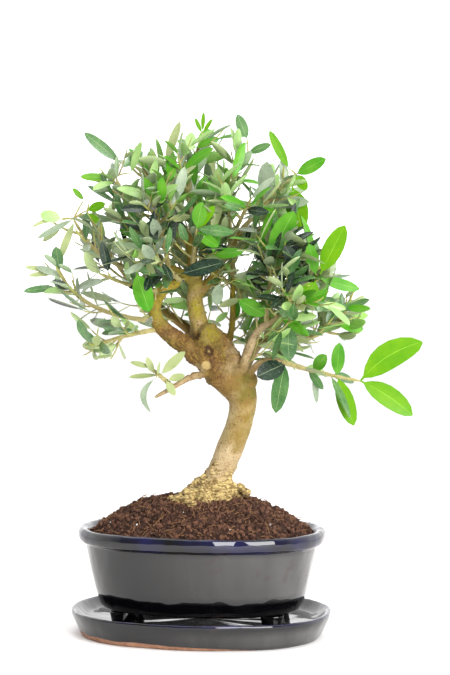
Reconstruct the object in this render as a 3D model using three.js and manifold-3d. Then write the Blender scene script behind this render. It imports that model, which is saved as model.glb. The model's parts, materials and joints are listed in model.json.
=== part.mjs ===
// An olive bonsai in an oval glazed pot on its drip tray.
// Millimetres, +Z up, front towards -Y, origin at the middle of the tray's flat underside.
import * as THREE from "three";
import { mergeVertices } from "three/addons/utils/BufferGeometryUtils.js";
import Module from "manifold-3d";

const wasm = await Module();
wasm.setup();

const { degToRad, lerp } = THREE.MathUtils;
const UP = new THREE.Vector3(0, 0, 1);
const SIDEWAYS = new THREE.Vector3(1, 0, 0);
const FULL_TURN = 2 * Math.PI;
const HALF_TURN = Math.PI;
const QUARTER_TURN = Math.PI / 2;
const STEEP = 0.95;
const CURVE_TENSION = 0.5;

// Clearance left between pieces that meet, and the closeness at which two vertices are one.
const GAP = 0.3;
const SAME_POINT = 1e-4;

// Outline shared by pot, soil and tray: a full oval with a shallow notch twice on each long side.
const PLANTER_YAW = degToRad(-7);
const OVAL_POWER = 2.3;
const NOTCH_ANGLE = degToRad(66);
const NOTCH_WIDTH = degToRad(9);
const NOTCH_DEPTH = 0.022;
const OUTLINE_STEPS = 32;

// Upright sections of the planter, as half length of the oval against height.
const POT_DEPTH_RATIO = 0.786;
const POT_BOTTOM = 15.5;
const POT_FLOOR = 20.5;
const POT_SECTION = [
  [0, POT_BOTTOM],
  [58, POT_BOTTOM],
  [59.2, 17.5],
  [62.2, 26],
  [65.2, 38],
  [67, 49],
  [67.8, 54],
  [71.8, 55],
  [72.5, 58.5],
  [71.7, 62.2],
  [70.3, 63],
  [67.3, 62.4],
  [66.3, 60.5],
  [52.5, 21],
  [0, POT_FLOOR],
];
const TRAY_DEPTH_RATIO = 0.83;
const TRAY_FLOOR = 9;
const TRAY_SECTION = [
  [0, 0],
  [70, 0],
  [71.6, 3],
  [74.6, 9],
  [76.5, 13.5],
  [75.8, 15],
  [73.6, 14.8],
  [71.6, 12.5],
  [67, TRAY_FLOOR],
  [0, TRAY_FLOOR],
];
const GROUND = 80;
const SOIL_CLEAR = 0.8;
const SOIL_SECTION = [
  [0, POT_FLOOR + SOIL_CLEAR],
  [52, POT_FLOOR + SOIL_CLEAR],
  [65, 58],
  [62, 61.5],
  [55, 67],
  [46, 73],
  [37, 77.6],
  [31, GROUND - GAP],
  [0, GROUND - GAP],
];
const FOOT_HEIGHT = POT_BOTTOM - TRAY_FLOOR;
const FOOT_SIZE = [7, 5.5];
const FOOT_TAPER = 0.82;
const FOOT_STEPS = 8;
const FOOT_PLACE = [44, 21];

// Trunk: centreline points and the radius at each, starting below the ground where it is cut flat.
const TRUNK_POINTS = [
  [5.4, 0, 74],
  [7, 0, 84],
  [11.1, 0, 97],
  [18.1, 0, 114.5],
  [22.2, 0.5, 127.4],
  [23.2, 1, 137.9],
  [19.4, 1, 147.3],
  [11.7, 0.5, 156],
  [4.1, 0, 164.8],
  [0, 0, 173],
];
const TRUNK_RADII = [10, 9.2, 7.7, 7.8, 7.5, 8.2, 10.8, 11.8, 10.8, 8];
const TRUNK_SIDES = 10;
const TRUNK_STEPS = 16;

// Surface roots that spread the foot of the trunk: bearing and reach of each.
const ROOTS = [
  [degToRad(188), 21],
  [degToRad(238), 19],
  [degToRad(310), 17],
  [degToRad(12), 18],
  [degToRad(75), 16],
  [degToRad(130), 17],
];
const TRUNK_FOOT = [6.2, 0, 80];
const ROOT_START = [11, 0, 96];
const ROOT_BEND = 0.5;
const ROOT_SINK = 3;
const ROOT_RADII = [5, 6.2, 3];
const ROOT_SIDES = 6;
const ROOT_STEPS = 3;

// Boughs: the radius at the root and at the tip, and the points of the centreline.
function bough(radii, ...points) {
  return { radii, points };
}
const BOUGHS = {
  leader: bough([5.8, 4.2], [1, 0, 168], [-2.9, 1, 183.5], [-5.3, 2, 196.4], [-4.1, 3, 208]),
  left_bough: bough([6.4, 4.2], [6, -3, 157], [-7, -6, 167], [-17.5, -8, 174.7], [-25.7, -9, 181]),
  left_hook: bough([4.1, 3], [-25.9, -9, 181.6], [-28.4, -9, 191.7], [-24, -7, 201.6], [-14, -5, 207.5]),
  right_bough: bough([4, 2.5], [21.5, -3, 146], [25, -6.5, 164], [32, -7, 179], [41.5, -6, 185.9]),
  right_middle_bough: bough([2.6, 1.6], [23, 4, 150], [29.2, 6, 164.8], [36.3, 7, 171.2], [49.7, 7, 171.8]),
  right_low_bough: bough([2.3, 1.5], [23, -4, 148.5], [34, -9.5, 161], [46, -12, 161.3]),
  upright_bough: bough([2.1, 1.5], [11, 5, 160], [16.4, 10, 178.8], [17, 11, 196.4], [17, 11, 210.4]),
  low_left_bough: bough([2.2, 1.1], [4, -5, 154.5], [-8.8, -10, 150.8], [-18.7, -11, 145], [-28, -11, 139.7]),
  crown_left_bough: bough([2.9, 1.9], [-4.5, 2.5, 204], [-14, 1, 212.4], [-27.5, -2, 215.6], [-39, -5, 214]),
  crown_middle_bough: bough([3.5, 2.1], [-4.3, 3, 206], [-7, 2, 218.6], [-8.2, 0, 231.5], [-5.8, -1, 242]),
  crown_right_bough: bough([3, 1.9], [-4.6, 2, 198], [5, 3, 209.3], [12, 4, 222.1], [21, 3, 236.2]),
  crown_back_bough: bough([3.2, 1.9], [-5, 2, 195], [-4, 15, 204], [-1, 28, 215]),
  back_left_bough: bough([3.4, 1.9], [3, 2, 165], [-9, 16, 178], [-23, 30, 188], [-36, 40, 197]),
  back_right_bough: bough([3.2, 1.8], [19, 3, 148], [27, 18, 162], [37, 32, 173], [47, 42, 182]),
};
const BOUGH_SIDES = 6;
const BOUGH_STEPS = 6;

// Masses of leaves: the bough and the place on it that the stem grows from, the point that draws the stem
// out, the stem's tip, the length of a grown leaf, and what sets a mass apart from the others.
function mass(parent, at, via, tip, leaf, habit = {}) {
  return { parent, at, via, tip, leaf, ...habit };
}
const LONG_SHOOT = { single: true, joint: 15, endLeaf: 42, facing: [0.2, -1.2, 0.5] };
const SHORT_SHOOT = { single: true, joint: 6, facing: [-0.2, -1, 0.4] };
const MASSES = {
  left_low_foliage: mass("left_hook", 0.08, [-74, -13, 187], [-84, -12, 214], 21),
  left_hanging_foliage: mass("left_bough", 0.93, [-45, -15, 177], [-68, -18, 168], 20),
  left_middle_foliage: mass("left_hook", 0.62, [-40, -16, 203], [-60, -26, 212], 22),
  left_upper_foliage: mass("crown_left_bough", 1, [-62, -6, 216], [-76, -6, 243], 21),
  upper_left_foliage: mass("crown_left_bough", 0.8, [-40, -1, 236], [-52, -2, 268], 21),
  top_left_foliage: mass("crown_middle_bough", 0.55, [-25, 6, 243], [-38, 12, 278], 22),
  top_foliage: mass("crown_middle_bough", 1, [-14, 4, 266], [-2, 6, 289], 21),
  top_right_foliage: mass("crown_middle_bough", 0.74, [8, -6, 262], [25, -8, 282], 22),
  right_top_foliage: mass("crown_right_bough", 1, [35, 0, 254], [53, -3, 270], 26),
  right_foliage: mass("right_bough", 1, [56, -7, 196], [66, -8, 211], 27),
  right_inner_foliage: mass("right_bough", 0.84, [36, -14, 206], [44, -24, 230], 23),
  right_middle_foliage: mass("right_middle_bough", 1, [72, 9, 173], [86, 12, 193], 20),
  right_low_shoot: mass("right_low_bough", 1, [66, -17, 155], [91, -20, 151], 27, LONG_SHOOT),
  low_left_foliage: mass("low_left_bough", 0.62, [-23, -13, 151], [-31, -16, 158], 19, SHORT_SHOOT),
  upright_foliage: mass("upright_bough", 1, [17, 13, 226], [14, 20, 250], 20),
  front_foliage: mass("crown_middle_bough", 0.3, [-6, -16, 222], [-4, -36, 238], 21),
  front_upper_left_foliage: mass("crown_left_bough", 0.5, [-24, -14, 236], [-30, -28, 254], 21),
  front_upper_right_foliage: mass("crown_right_bough", 0.72, [18, -14, 238], [27, -30, 256], 21),
  front_left_foliage: mass("left_hook", 1, [-18, -22, 214], [-36, -44, 226], 22),
  front_right_foliage: mass("right_bough", 0.93, [46, -22, 189], [58, -46, 198], 20),
  back_left_foliage: mass("back_left_bough", 1, [-50, 50, 208], [-62, 58, 230], 21),
  back_right_foliage: mass("back_right_bough", 1, [60, 53, 192], [68, 60, 214], 21),
  back_top_foliage: mass("crown_back_bough", 1, [1, 42, 236], [4, 52, 262], 21),
  back_upper_left_foliage: mass("crown_back_bough", 0.72, [-22, 36, 236], [-40, 46, 258], 21),
  back_upper_right_foliage: mass("crown_back_bough", 0.86, [22, 36, 230], [44, 44, 246], 21),
};
const SEED = 20261;
const MASS_SEEDS = 4096;
const JOINT_SEEDS = 64;
const SIDE_SEEDS = 32;
const PAIR_SEEDS = 4;

// Stems and twigs are three-sided, with leaves in pairs at each joint, each pair turned square to the last.
const TWIG_SIDES = 3;
const STEM_STEPS = 5;
const TWIG_STEPS = 2;
const STEM_RADII = [1.4, 0.95];
const STEM_BARE = 0.3;
const STEM_JOINT = 9.5;
const TWIG_RADII = [0.95, 0.85];
const TWIG_LENGTH = [17, 30];
const TWIG_BARE = 0.36;
const TWIG_JOINT = 8.5;
const TWIG_CHANCE = 0.6;
const TWIG_LAST = 0.86;
const TWIG_END = 0.97;
const TWIG_SPREAD = degToRad(52);
const TWIG_LIFT = 0.3;
const TWIG_SHORTER = 0.4;
const TWIG_PROBES = 6;
const PHASE_SWAY = 0.5;

// Leaves: share of the mass's leaf length, width against length, lean from the twig, and the blade's bends.
const LEAF_SHARE = [0.72, 1.12];
const LEAF_WIDTH = [0.44, 0.54];
const LEAF_LEAN = [degToRad(38), degToRad(68)];
const END_LEAF_LEAN = degToRad(26);
const LEAF_TWIST = 0.7;
const LEAF_STRAY = 1.1;
const FACING_STRAY = 0.55;
const LEAF_UPTURN = 0.35;
const LEAF_OFFSET = 0.22;
const LEAF_SHRINK = 0.92;
const LEAF_DROOP = [-0.05, 0.16];
const LEAF_WIDEST = 0.5;
const LEAF_FOLD = 0.1;
const LEAF_TRIES = 4;
const LEAF_ROOM = 0.7;
const LEAF_PROBES = [0.35, 0.55, 0.75, 0.95];

// A mass's own space lies round a point on its stem, and the clearing is the open air round the fork.
const SPACE_CENTRE = 0.72;
const SPACE_MARGIN = 0.2;
const LIMB_MARGIN = 0.5;
const LIMB_SAMPLE = 1.2;
const CLEARING = new THREE.Box3(new THREE.Vector3(-23, -120, 100), new THREE.Vector3(28, 120, 201));

const FINISHES = {
  glaze: { color: 0x17161c, roughness: 0.12, metalness: 0 },
  soil: { color: 0x3a2823, roughness: 0.95, metalness: 0 },
  bark: { color: 0xa5874e, roughness: 0.85, metalness: 0 },
  leaf: { color: 0x55753f, roughness: 0.5, metalness: 0 },
  young_leaf: { color: 0x7fb628, roughness: 0.45, metalness: 0 },
};
const YOUNG_MASSES = ["right_low_shoot", "right_top_foliage", "front_foliage"];

function vector(point) {
  return new THREE.Vector3(...point);
}

// Random numbers from 0 to 1 that repeat for the same seed.
function randomFrom(seed) {
  let state = seed >>> 0;
  return () => {
    state = (state + 0x6d2b79f5) >>> 0;
    let mixed = Math.imul(state ^ (state >>> 15), 1 | state);
    mixed = (mixed + Math.imul(mixed ^ (mixed >>> 7), 61 | mixed)) ^ mixed;
    return ((mixed ^ (mixed >>> 14)) >>> 0) / 4294967296;
  };
}

// A solid that can be joined and cut.
function toSolid(geometry) {
  const bare = new THREE.BufferGeometry();
  bare.setAttribute("position", geometry.getAttribute("position"));
  bare.setIndex(geometry.index);
  const merged = mergeVertices(bare, SAME_POINT);
  return new wasm.Manifold(
    new wasm.Mesh({
      numProp: 3,
      vertProperties: merged.attributes.position.array,
      triVerts: new Uint32Array(merged.index.array),
    }),
  );
}

function toGeometry(solid) {
  const mesh = solid.getMesh();
  const geometry = new THREE.BufferGeometry();
  geometry.setAttribute("position", new THREE.BufferAttribute(mesh.vertProperties, 3));
  geometry.setIndex(new THREE.BufferAttribute(mesh.triVerts, 1));
  return geometry;
}

// The largest body of a solid: loose scraps go, and a sealed hollow is filled.
function largestBody(solid) {
  return solid.decompose().reduce((best, body) => (body.volume() > best.volume() ? body : best));
}

function namedMesh(name, geometry, finish) {
  geometry.computeVertexNormals();
  const mesh = new THREE.Mesh(geometry, new THREE.MeshStandardMaterial(FINISHES[finish]));
  mesh.name = name;
  return mesh;
}

// Distance from the middle to the outline, for an oval of half length one.
function outlineReach(angle, depthRatio) {
  const oval =
    (Math.abs(Math.cos(angle)) ** OVAL_POWER + (Math.abs(Math.sin(angle)) / depthRatio) ** OVAL_POWER) **
    (-1 / OVAL_POWER);
  const folded = Math.atan2(Math.abs(Math.sin(angle)), Math.abs(Math.cos(angle)));
  const notch = Math.exp(-(((folded - NOTCH_ANGLE) / NOTCH_WIDTH) ** 2));
  return oval * (1 - NOTCH_DEPTH * notch);
}

// An upright section carried round the oval outline.
function ovalSolid(section, depthRatio) {
  const profile = section.map(([half, height]) => new THREE.Vector2(half, height));
  const geometry = new THREE.LatheGeometry(profile, OUTLINE_STEPS).rotateX(QUARTER_TURN);
  const place = geometry.getAttribute("position");
  for (let i = 0; i < place.count; i++) {
    const reach = outlineReach(Math.atan2(place.getY(i), place.getX(i)), depthRatio);
    place.setXY(i, place.getX(i) * reach, place.getY(i) * reach);
  }
  return geometry;
}

function potFoot(name, across, along) {
  const geometry = new THREE.CylinderGeometry(1, FOOT_TAPER, FOOT_HEIGHT, FOOT_STEPS).rotateX(QUARTER_TURN);
  const foot = namedMesh(name, geometry.scale(FOOT_SIZE[0], FOOT_SIZE[1], 1), "glaze");
  foot.position.set(across * FOOT_PLACE[0], along * FOOT_PLACE[1], TRAY_FLOOR + FOOT_HEIGHT / 2);
  return foot;
}

function planter() {
  const group = new THREE.Group();
  group.rotation.z = PLANTER_YAW;
  group.add(namedMesh("tray", ovalSolid(TRAY_SECTION, TRAY_DEPTH_RATIO), "glaze"));
  group.add(namedMesh("pot", ovalSolid(POT_SECTION, POT_DEPTH_RATIO), "glaze"));
  group.add(namedMesh("soil", ovalSolid(SOIL_SECTION, POT_DEPTH_RATIO), "soil"));
  for (const along of [-1, 1]) {
    for (const across of [-1, 1]) {
      const name = `pot_foot_${along < 0 ? "front" : "back"}_${across < 0 ? "left" : "right"}`;
      group.add(potFoot(name, across, along));
    }
  }
  return group;
}

// A limb's centreline with its radius along it.
function limbPath(points, radii) {
  const curve = new THREE.CatmullRomCurve3(points.map(vector), false, "catmullrom", CURVE_TENSION);
  return { curve, radiusAt: radiusAlong(radii) };
}

function radiusAlong(radii) {
  const last = radii.length - 1;
  return (u) => {
    const low = Math.min(Math.floor(u * last), last - 1);
    return lerp(radii[low], radii[low + 1], u * last - low);
  };
}

// A direction square to the given one.
function squareTo(direction) {
  const other = Math.abs(direction.z) > STEEP ? SIDEWAYS : UP;
  return new THREE.Vector3().crossVectors(direction, other).normalize();
}

// A closed tapering tube along a path, made fatter and longer by the amount to grow.
function tube({ curve, radiusAt }, sides, steps, grow = 0) {
  const positions = [];
  const index = [];
  const normal = squareTo(curve.getTangent(0));
  for (let i = 0; i <= steps; i++) {
    const tangent = curve.getTangent(i / steps);
    const push = i === 0 ? -grow : i === steps ? grow : 0;
    const centre = curve.getPoint(i / steps).addScaledVector(tangent, push);
    normal.addScaledVector(tangent, -normal.dot(tangent)).normalize();
    const binormal = new THREE.Vector3().crossVectors(tangent, normal);
    for (let k = 0; k < sides; k++) {
      const angle = (k / sides) * FULL_TURN;
      const radius = radiusAt(i / steps) + grow;
      const point = centre.clone();
      point.addScaledVector(normal, radius * Math.cos(angle));
      point.addScaledVector(binormal, radius * Math.sin(angle));
      positions.push(point.x, point.y, point.z);
    }
  }
  for (let i = 0; i < steps; i++) {
    for (let k = 0; k < sides; k++) {
      const next = (k + 1) % sides;
      const [a, b] = [i * sides + k, i * sides + next];
      index.push(a, b, b + sides, a, b + sides, a + sides);
    }
  }
  for (let k = 1; k < sides - 1; k++) {
    const end = steps * sides;
    index.push(0, k + 1, k, end, end + k, end + k + 1);
  }
  const geometry = new THREE.BufferGeometry();
  geometry.setAttribute("position", new THREE.Float32BufferAttribute(positions, 3));
  geometry.setIndex(index);
  return toSolid(geometry);
}

// Balls that fill a limb, for keeping leaves and twigs clear of it.
function limbBalls({ curve, radiusAt }) {
  const steps = Math.ceil(curve.getLength() / LIMB_SAMPLE);
  return Array.from({ length: steps + 1 }, (_, i) => ({
    centre: curve.getPoint(i / steps),
    radius: radiusAt(i / steps),
  }));
}

// A root's path, from inside the trunk down and out to just under the ground.
function rootPath([bearing, reach]) {
  const outward = new THREE.Vector3(Math.cos(bearing), Math.sin(bearing), 0);
  const bend = vector(TRUNK_FOOT).addScaledVector(outward, reach * ROOT_BEND).setZ(GROUND + ROOT_SINK);
  const end = vector(TRUNK_FOOT).addScaledVector(outward, reach).setZ(GROUND - ROOT_SINK);
  return limbPath([ROOT_START, bend.toArray(), end.toArray()], ROOT_RADII);
}

const trunkPath = limbPath(TRUNK_POINTS, TRUNK_RADII);
const boughPaths = Object.fromEntries(
  Object.entries(BOUGHS).map(([name, { points, radii }]) => [name, limbPath(points, radii)]),
);

// The trunk with its surface roots, cut flat at the ground.
function trunkSolid(grow) {
  const roots = ROOTS.map((root) => tube(rootPath(root), ROOT_SIDES, ROOT_STEPS, grow));
  const whole = wasm.Manifold.union([tube(trunkPath, TRUNK_SIDES, TRUNK_STEPS, grow), ...roots]);
  return largestBody(whole.trimByPlane([0, 0, 1], GROUND));
}

// Each bough, cut clear of the trunk and of the boughs before it.
function boughSolids() {
  const taken = [trunkSolid(GAP)];
  return Object.entries(boughPaths).map(([name, path]) => {
    const whole = tube(path, BOUGH_SIDES, BOUGH_STEPS);
    const solid = largestBody(taken.reduce((left, other) => left.subtract(other), whole));
    taken.push(tube(path, BOUGH_SIDES, BOUGH_STEPS, GAP));
    return [name, solid];
  });
}

function stemPath({ parent, at, via, tip }) {
  const start = boughPaths[parent].curve.getPoint(at);
  const curve = new THREE.QuadraticBezierCurve3(start, vector(via), vector(tip));
  return { curve, radiusAt: radiusAlong(STEM_RADII) };
}

const stemPaths = Object.fromEntries(Object.entries(MASSES).map(([name, mass]) => [name, stemPath(mass)]));
const spaceCentres = Object.fromEntries(
  Object.entries(stemPaths).map(([name, path]) => [name, path.curve.getPoint(SPACE_CENTRE)]),
);
const woodBalls = [trunkPath, ...Object.values(boughPaths)].flatMap(limbBalls);
const stemBalls = Object.fromEntries(
  Object.entries(stemPaths).map(([name, path]) => [name, limbBalls(path)]),
);

// Whether every point lies in the mass's own space, outside the clearing.
function insideSpace(name, points) {
  const own = spaceCentres[name];
  const others = Object.values(spaceCentres).filter((centre) => centre !== own);
  return points.every(
    (point) =>
      !CLEARING.containsPoint(point) &&
      others.every((other) => {
        const lead = point.distanceToSquared(other) - point.distanceToSquared(own);
        return lead / (2 * own.distanceTo(other)) > SPACE_MARGIN;
      }),
  );
}

// The wood that a mass must keep clear of: every limb, and the stems of the other masses.
function obstaclesFor(name) {
  const stems = Object.entries(stemBalls).filter(([other]) => other !== name);
  return [...woodBalls, ...stems.flatMap(([, balls]) => balls)];
}

function twigFits(name, { curve }, obstacles) {
  const points = curve.getPoints(TWIG_PROBES).slice(1);
  const clear = points.every((point) =>
    obstacles.every((ball) => point.distanceTo(ball.centre) > ball.radius + TWIG_RADII[0] + LIMB_MARGIN),
  );
  return clear && insideSpace(name, points);
}

// The corners of a leaf, whose two edges are folded up from the line of its midrib.
function leafCorners({ root, along, face, length, width, droop }) {
  const across = new THREE.Vector3().crossVectors(face, along);
  const corner = (far, side, high) =>
    root.clone().addScaledVector(along, far).addScaledVector(across, side).addScaledVector(face, high);
  const middle = length * LEAF_WIDEST;
  const raised = width * LEAF_FOLD - middle * droop;
  return {
    root: corner(0, 0, 0),
    left: corner(middle, -width / 2, raised),
    right: corner(middle, width / 2, raised),
    tip: corner(length, 0, -length * droop),
  };
}

function leafHalves(corners) {
  return [
    new THREE.Triangle(corners.root, corners.left, corners.tip),
    new THREE.Triangle(corners.root, corners.tip, corners.right),
  ];
}

function leafSolid({ root, left, right, tip }) {
  const geometry = new THREE.BufferGeometry().setFromPoints([root, left, right, tip]);
  geometry.setIndex([0, 1, 2, 3, 2, 1, 0, 2, 3, 0, 3, 1]);
  return toSolid(geometry);
}

function leafFits(name, corners, leaves, obstacles) {
  if (!insideSpace(name, Object.values(corners))) return false;
  const halves = leafHalves(corners);
  const near = new THREE.Vector3();
  const closer = (half, point, room) => half.closestPointToPoint(point, near).distanceTo(point) < room;
  const nearWood = (ball) => halves.some((half) => closer(half, ball.centre, ball.radius + LIMB_MARGIN));
  if (obstacles.some(nearWood)) return false;
  const spine = LEAF_PROBES.map((far) => corners.root.clone().lerp(corners.tip, far));
  const probes = [...spine, corners.left, corners.right];
  const crosses = (other) => leafHalves(other).some((half) => probes.some((p) => closer(half, p, LEAF_ROOM)));
  return !leaves.some(crosses);
}

// Directions at a joint of a twig: along it, and outward at the given phase round it.
function jointFrame(curve, u, phase) {
  const along = curve.getTangent(u);
  const side = squareTo(along);
  const rise = new THREE.Vector3().crossVectors(side, along);
  const outward = side.multiplyScalar(Math.cos(phase)).addScaledVector(rise, Math.sin(phase));
  return { along, outward };
}

// Where the upper face of a leaf strays to: the mass's own facing, or up and any way.
function strayFace({ facing }, random) {
  const stray = new THREE.Vector3(random() - 0.5, random() - 0.5, random() - 0.5);
  if (facing) return stray.multiplyScalar(FACING_STRAY).add(vector(facing));
  return stray.multiplyScalar(LEAF_STRAY).addScaledVector(UP, LEAF_UPTURN);
}

// A leaf's place and size at a joint, with its upper face turned towards the twig's tip and the light.
function leafAt(growth, path, u, phase, random, end) {
  const turned = phase + LEAF_TWIST * (random() - 0.5);
  const { along, outward } = jointFrame(path.curve, u, turned);
  const root = path.curve.getPoint(u).addScaledVector(outward, LEAF_OFFSET);
  const angle = end ? END_LEAF_LEAN : lerp(...LEAF_LEAN, random());
  const blade = along.clone().multiplyScalar(Math.cos(angle)).addScaledVector(outward, Math.sin(angle));
  const face = along.multiplyScalar(Math.sin(angle)).addScaledVector(outward, -Math.cos(angle));
  face.add(strayFace(growth.habit, random));
  face.addScaledVector(blade, -face.dot(blade)).normalize();
  const { leaf, endLeaf = leaf } = growth.habit;
  const length = (end ? endLeaf : leaf) * lerp(...LEAF_SHARE, random());
  const width = length * lerp(...LEAF_WIDTH, random());
  const droop = lerp(...LEAF_DROOP, random());
  return { root, along: blade, face, length, width, droop };
}

// Tries a leaf a few times at a joint, smaller each time, and leaves it out where it never fits.
function addLeaf(growth, path, u, phase, seed, end = false) {
  const random = randomFrom(seed);
  for (let attempt = 0; attempt < LEAF_TRIES; attempt++) {
    const leaf = leafAt(growth, path, u, phase + attempt * PHASE_SWAY, random, end);
    leaf.length *= LEAF_SHRINK ** attempt;
    leaf.width *= LEAF_SHRINK ** attempt;
    const corners = leafCorners(leaf);
    if (leafFits(growth.name, corners, growth.leaves, growth.obstacles)) {
      growth.leaves.push(corners);
      return;
    }
  }
}

// The places of the joints along a path, from its bare part to just short of its end.
function jointPlaces(path, bare, spacing) {
  const leafy = path.curve.getLength() * (1 - bare);
  const count = Math.max(1, Math.round(leafy / spacing));
  return Array.from({ length: count }, (_, i) => bare + ((1 - bare) * i) / count);
}

function addLeafPairs(growth, path, bare, spacing, seed) {
  jointPlaces(path, bare, spacing).forEach((u, i) => {
    addLeaf(growth, path, u, i * QUARTER_TURN, seed + PAIR_SEEDS * i);
    addLeaf(growth, path, u, i * QUARTER_TURN + HALF_TURN, seed + PAIR_SEEDS * i + 1);
  });
  addEndPair(growth, path, seed + 2);
}

// The pair at the end of a twig, one leaf above the other.
function addEndPair(growth, path, seed) {
  addLeaf(growth, path, TWIG_END, QUARTER_TURN, seed, true);
  addLeaf(growth, path, TWIG_END, -QUARTER_TURN, seed + 1, true);
}

// A side twig from the stem, bending up towards the light.
function sideTwig(path, u, phase, random) {
  const { along, outward } = jointFrame(path.curve, u, phase);
  const start = path.curve.getPoint(u);
  const length = lerp(...TWIG_LENGTH, random()) * (1 - TWIG_SHORTER * u);
  const heading = along.multiplyScalar(Math.cos(TWIG_SPREAD)).addScaledVector(outward, Math.sin(TWIG_SPREAD));
  const middle = start.clone().addScaledVector(heading, length / 2);
  const tip = start.clone().addScaledVector(heading, length).addScaledVector(UP, length * TWIG_LIFT);
  return { curve: new THREE.QuadraticBezierCurve3(start, middle, tip), radiusAt: radiusAlong(TWIG_RADII) };
}

// Grows a mass from its stem: at each joint a side twig or a leaf on either side, and a pair at the end.
function growMass(name, seed) {
  const path = stemPaths[name];
  const habit = MASSES[name];
  const growth = { name, habit, twigs: [], leaves: [], obstacles: obstaclesFor(name) };
  jointPlaces(path, STEM_BARE, habit.joint ?? STEM_JOINT).forEach((u, i) => {
    const random = randomFrom(seed + JOINT_SEEDS * i);
    const phase = i * QUARTER_TURN + PHASE_SWAY * random();
    [0, HALF_TURN].forEach((half, side) => {
      const twigSeed = seed + JOINT_SEEDS * i + SIDE_SEEDS * side + 1;
      const twig = sideTwig(path, u, phase + half, random);
      const branches = random() < TWIG_CHANCE && u < TWIG_LAST && !habit.single;
      if (branches && twigFits(name, twig, growth.obstacles)) {
        growth.twigs.push(twig);
        addLeafPairs(growth, twig, TWIG_BARE, TWIG_JOINT, twigSeed);
      } else {
        addLeaf(growth, path, u, phase + half, twigSeed);
      }
    });
  });
  addEndPair(growth, path, seed + MASS_SEEDS / 2);
  return growth;
}

// A mass as one solid: the stem cut clear of the wood it grows from, with its twigs and leaves joined on.
function massSolid(name, growth, wood) {
  const stem = tube(stemPaths[name], TWIG_SIDES, STEM_STEPS);
  const cut = largestBody(wood.reduce((left, limb) => left.subtract(limb), stem));
  const twigs = growth.twigs.map((twig) => tube(twig, TWIG_SIDES, TWIG_STEPS));
  return largestBody(wasm.Manifold.union([cut, ...twigs, ...growth.leaves.map(leafSolid)]));
}

function tree() {
  const group = new THREE.Group();
  group.add(namedMesh("trunk", toGeometry(trunkSolid(0)), "bark"));
  for (const [name, solid] of boughSolids()) group.add(namedMesh(name, toGeometry(solid), "bark"));
  const grownBoughs = Object.values(boughPaths).map((path) => tube(path, BOUGH_SIDES, BOUGH_STEPS, GAP));
  const wood = [trunkSolid(GAP), ...grownBoughs];
  Object.keys(MASSES).forEach((name, i) => {
    const growth = growMass(name, SEED + i * MASS_SEEDS);
    const finish = YOUNG_MASSES.includes(name) ? "young_leaf" : "leaf";
    group.add(namedMesh(name, toGeometry(massSolid(name, growth, wood)), finish));
  });
  return group;
}

const bonsai = new THREE.Group();
bonsai.add(planter(), tree());

export default bonsai;
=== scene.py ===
"""Dresses the potted olive bonsai: bark, twigs, leaves, soil, glazed pot and tray in a pale studio."""

import json
import logging
import math
from dataclasses import dataclass, field
from enum import Enum
from itertools import combinations

import bpy
import numpy as np
from mathutils import Matrix, Vector, bvhtree, kdtree, noise

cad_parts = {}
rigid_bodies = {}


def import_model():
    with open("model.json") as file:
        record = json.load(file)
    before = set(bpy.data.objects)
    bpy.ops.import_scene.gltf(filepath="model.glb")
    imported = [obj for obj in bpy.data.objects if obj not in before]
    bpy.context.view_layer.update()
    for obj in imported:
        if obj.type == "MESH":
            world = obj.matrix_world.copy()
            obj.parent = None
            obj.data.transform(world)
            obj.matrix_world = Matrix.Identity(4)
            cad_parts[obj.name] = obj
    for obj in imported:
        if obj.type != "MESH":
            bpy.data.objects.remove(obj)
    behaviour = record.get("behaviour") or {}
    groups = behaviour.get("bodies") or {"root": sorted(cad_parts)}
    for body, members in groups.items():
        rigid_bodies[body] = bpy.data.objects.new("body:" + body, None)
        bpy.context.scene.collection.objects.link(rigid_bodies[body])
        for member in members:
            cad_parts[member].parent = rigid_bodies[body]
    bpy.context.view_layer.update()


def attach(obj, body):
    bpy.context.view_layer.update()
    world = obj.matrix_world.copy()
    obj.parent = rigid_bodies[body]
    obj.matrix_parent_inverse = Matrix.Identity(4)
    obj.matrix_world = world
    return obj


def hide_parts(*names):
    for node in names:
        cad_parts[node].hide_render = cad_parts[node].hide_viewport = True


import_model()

Array = np.ndarray
Place = tuple[float, float, float]
Span = tuple[float, float]
Colour = tuple[float, float, float, float]
Faces = list[tuple[int, ...]]
Piece = bpy.types.Object
Socket = bpy.types.NodeSocket
Node = bpy.types.Node
Tree = bpy.types.NodeTree
Material = bpy.types.Material
Generator = np.random.Generator
BVHTree = bvhtree.BVHTree

LOG = logging.getLogger("bonsai")
BODY = "root"

# Sizes are in millimetres, as in the solids, and meshes in metres.
MM = 0.001
UP = np.array((0.0, 0.0, 1.0))
SIDEWAYS = np.array((1.0, 0.0, 0.0))
FULL_TURN = 2 * math.pi
HALF_TURN = math.pi
QUARTER_TURN = math.pi / 2
STEEP = 0.95
WORD = 0xFFFFFFFF

# Outline shared by pot, soil and tray: a full oval with a shallow notch twice on each long side.
PLANTER_YAW = math.radians(-7)
OVAL_POWER = 2.3
NOTCH_ANGLE = math.radians(66)
NOTCH_WIDTH = math.radians(9)
NOTCH_DEPTH = 0.022
POT_DEPTH_RATIO = 0.786
TRAY_DEPTH_RATIO = 0.83
GROUND = 80.0

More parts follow.
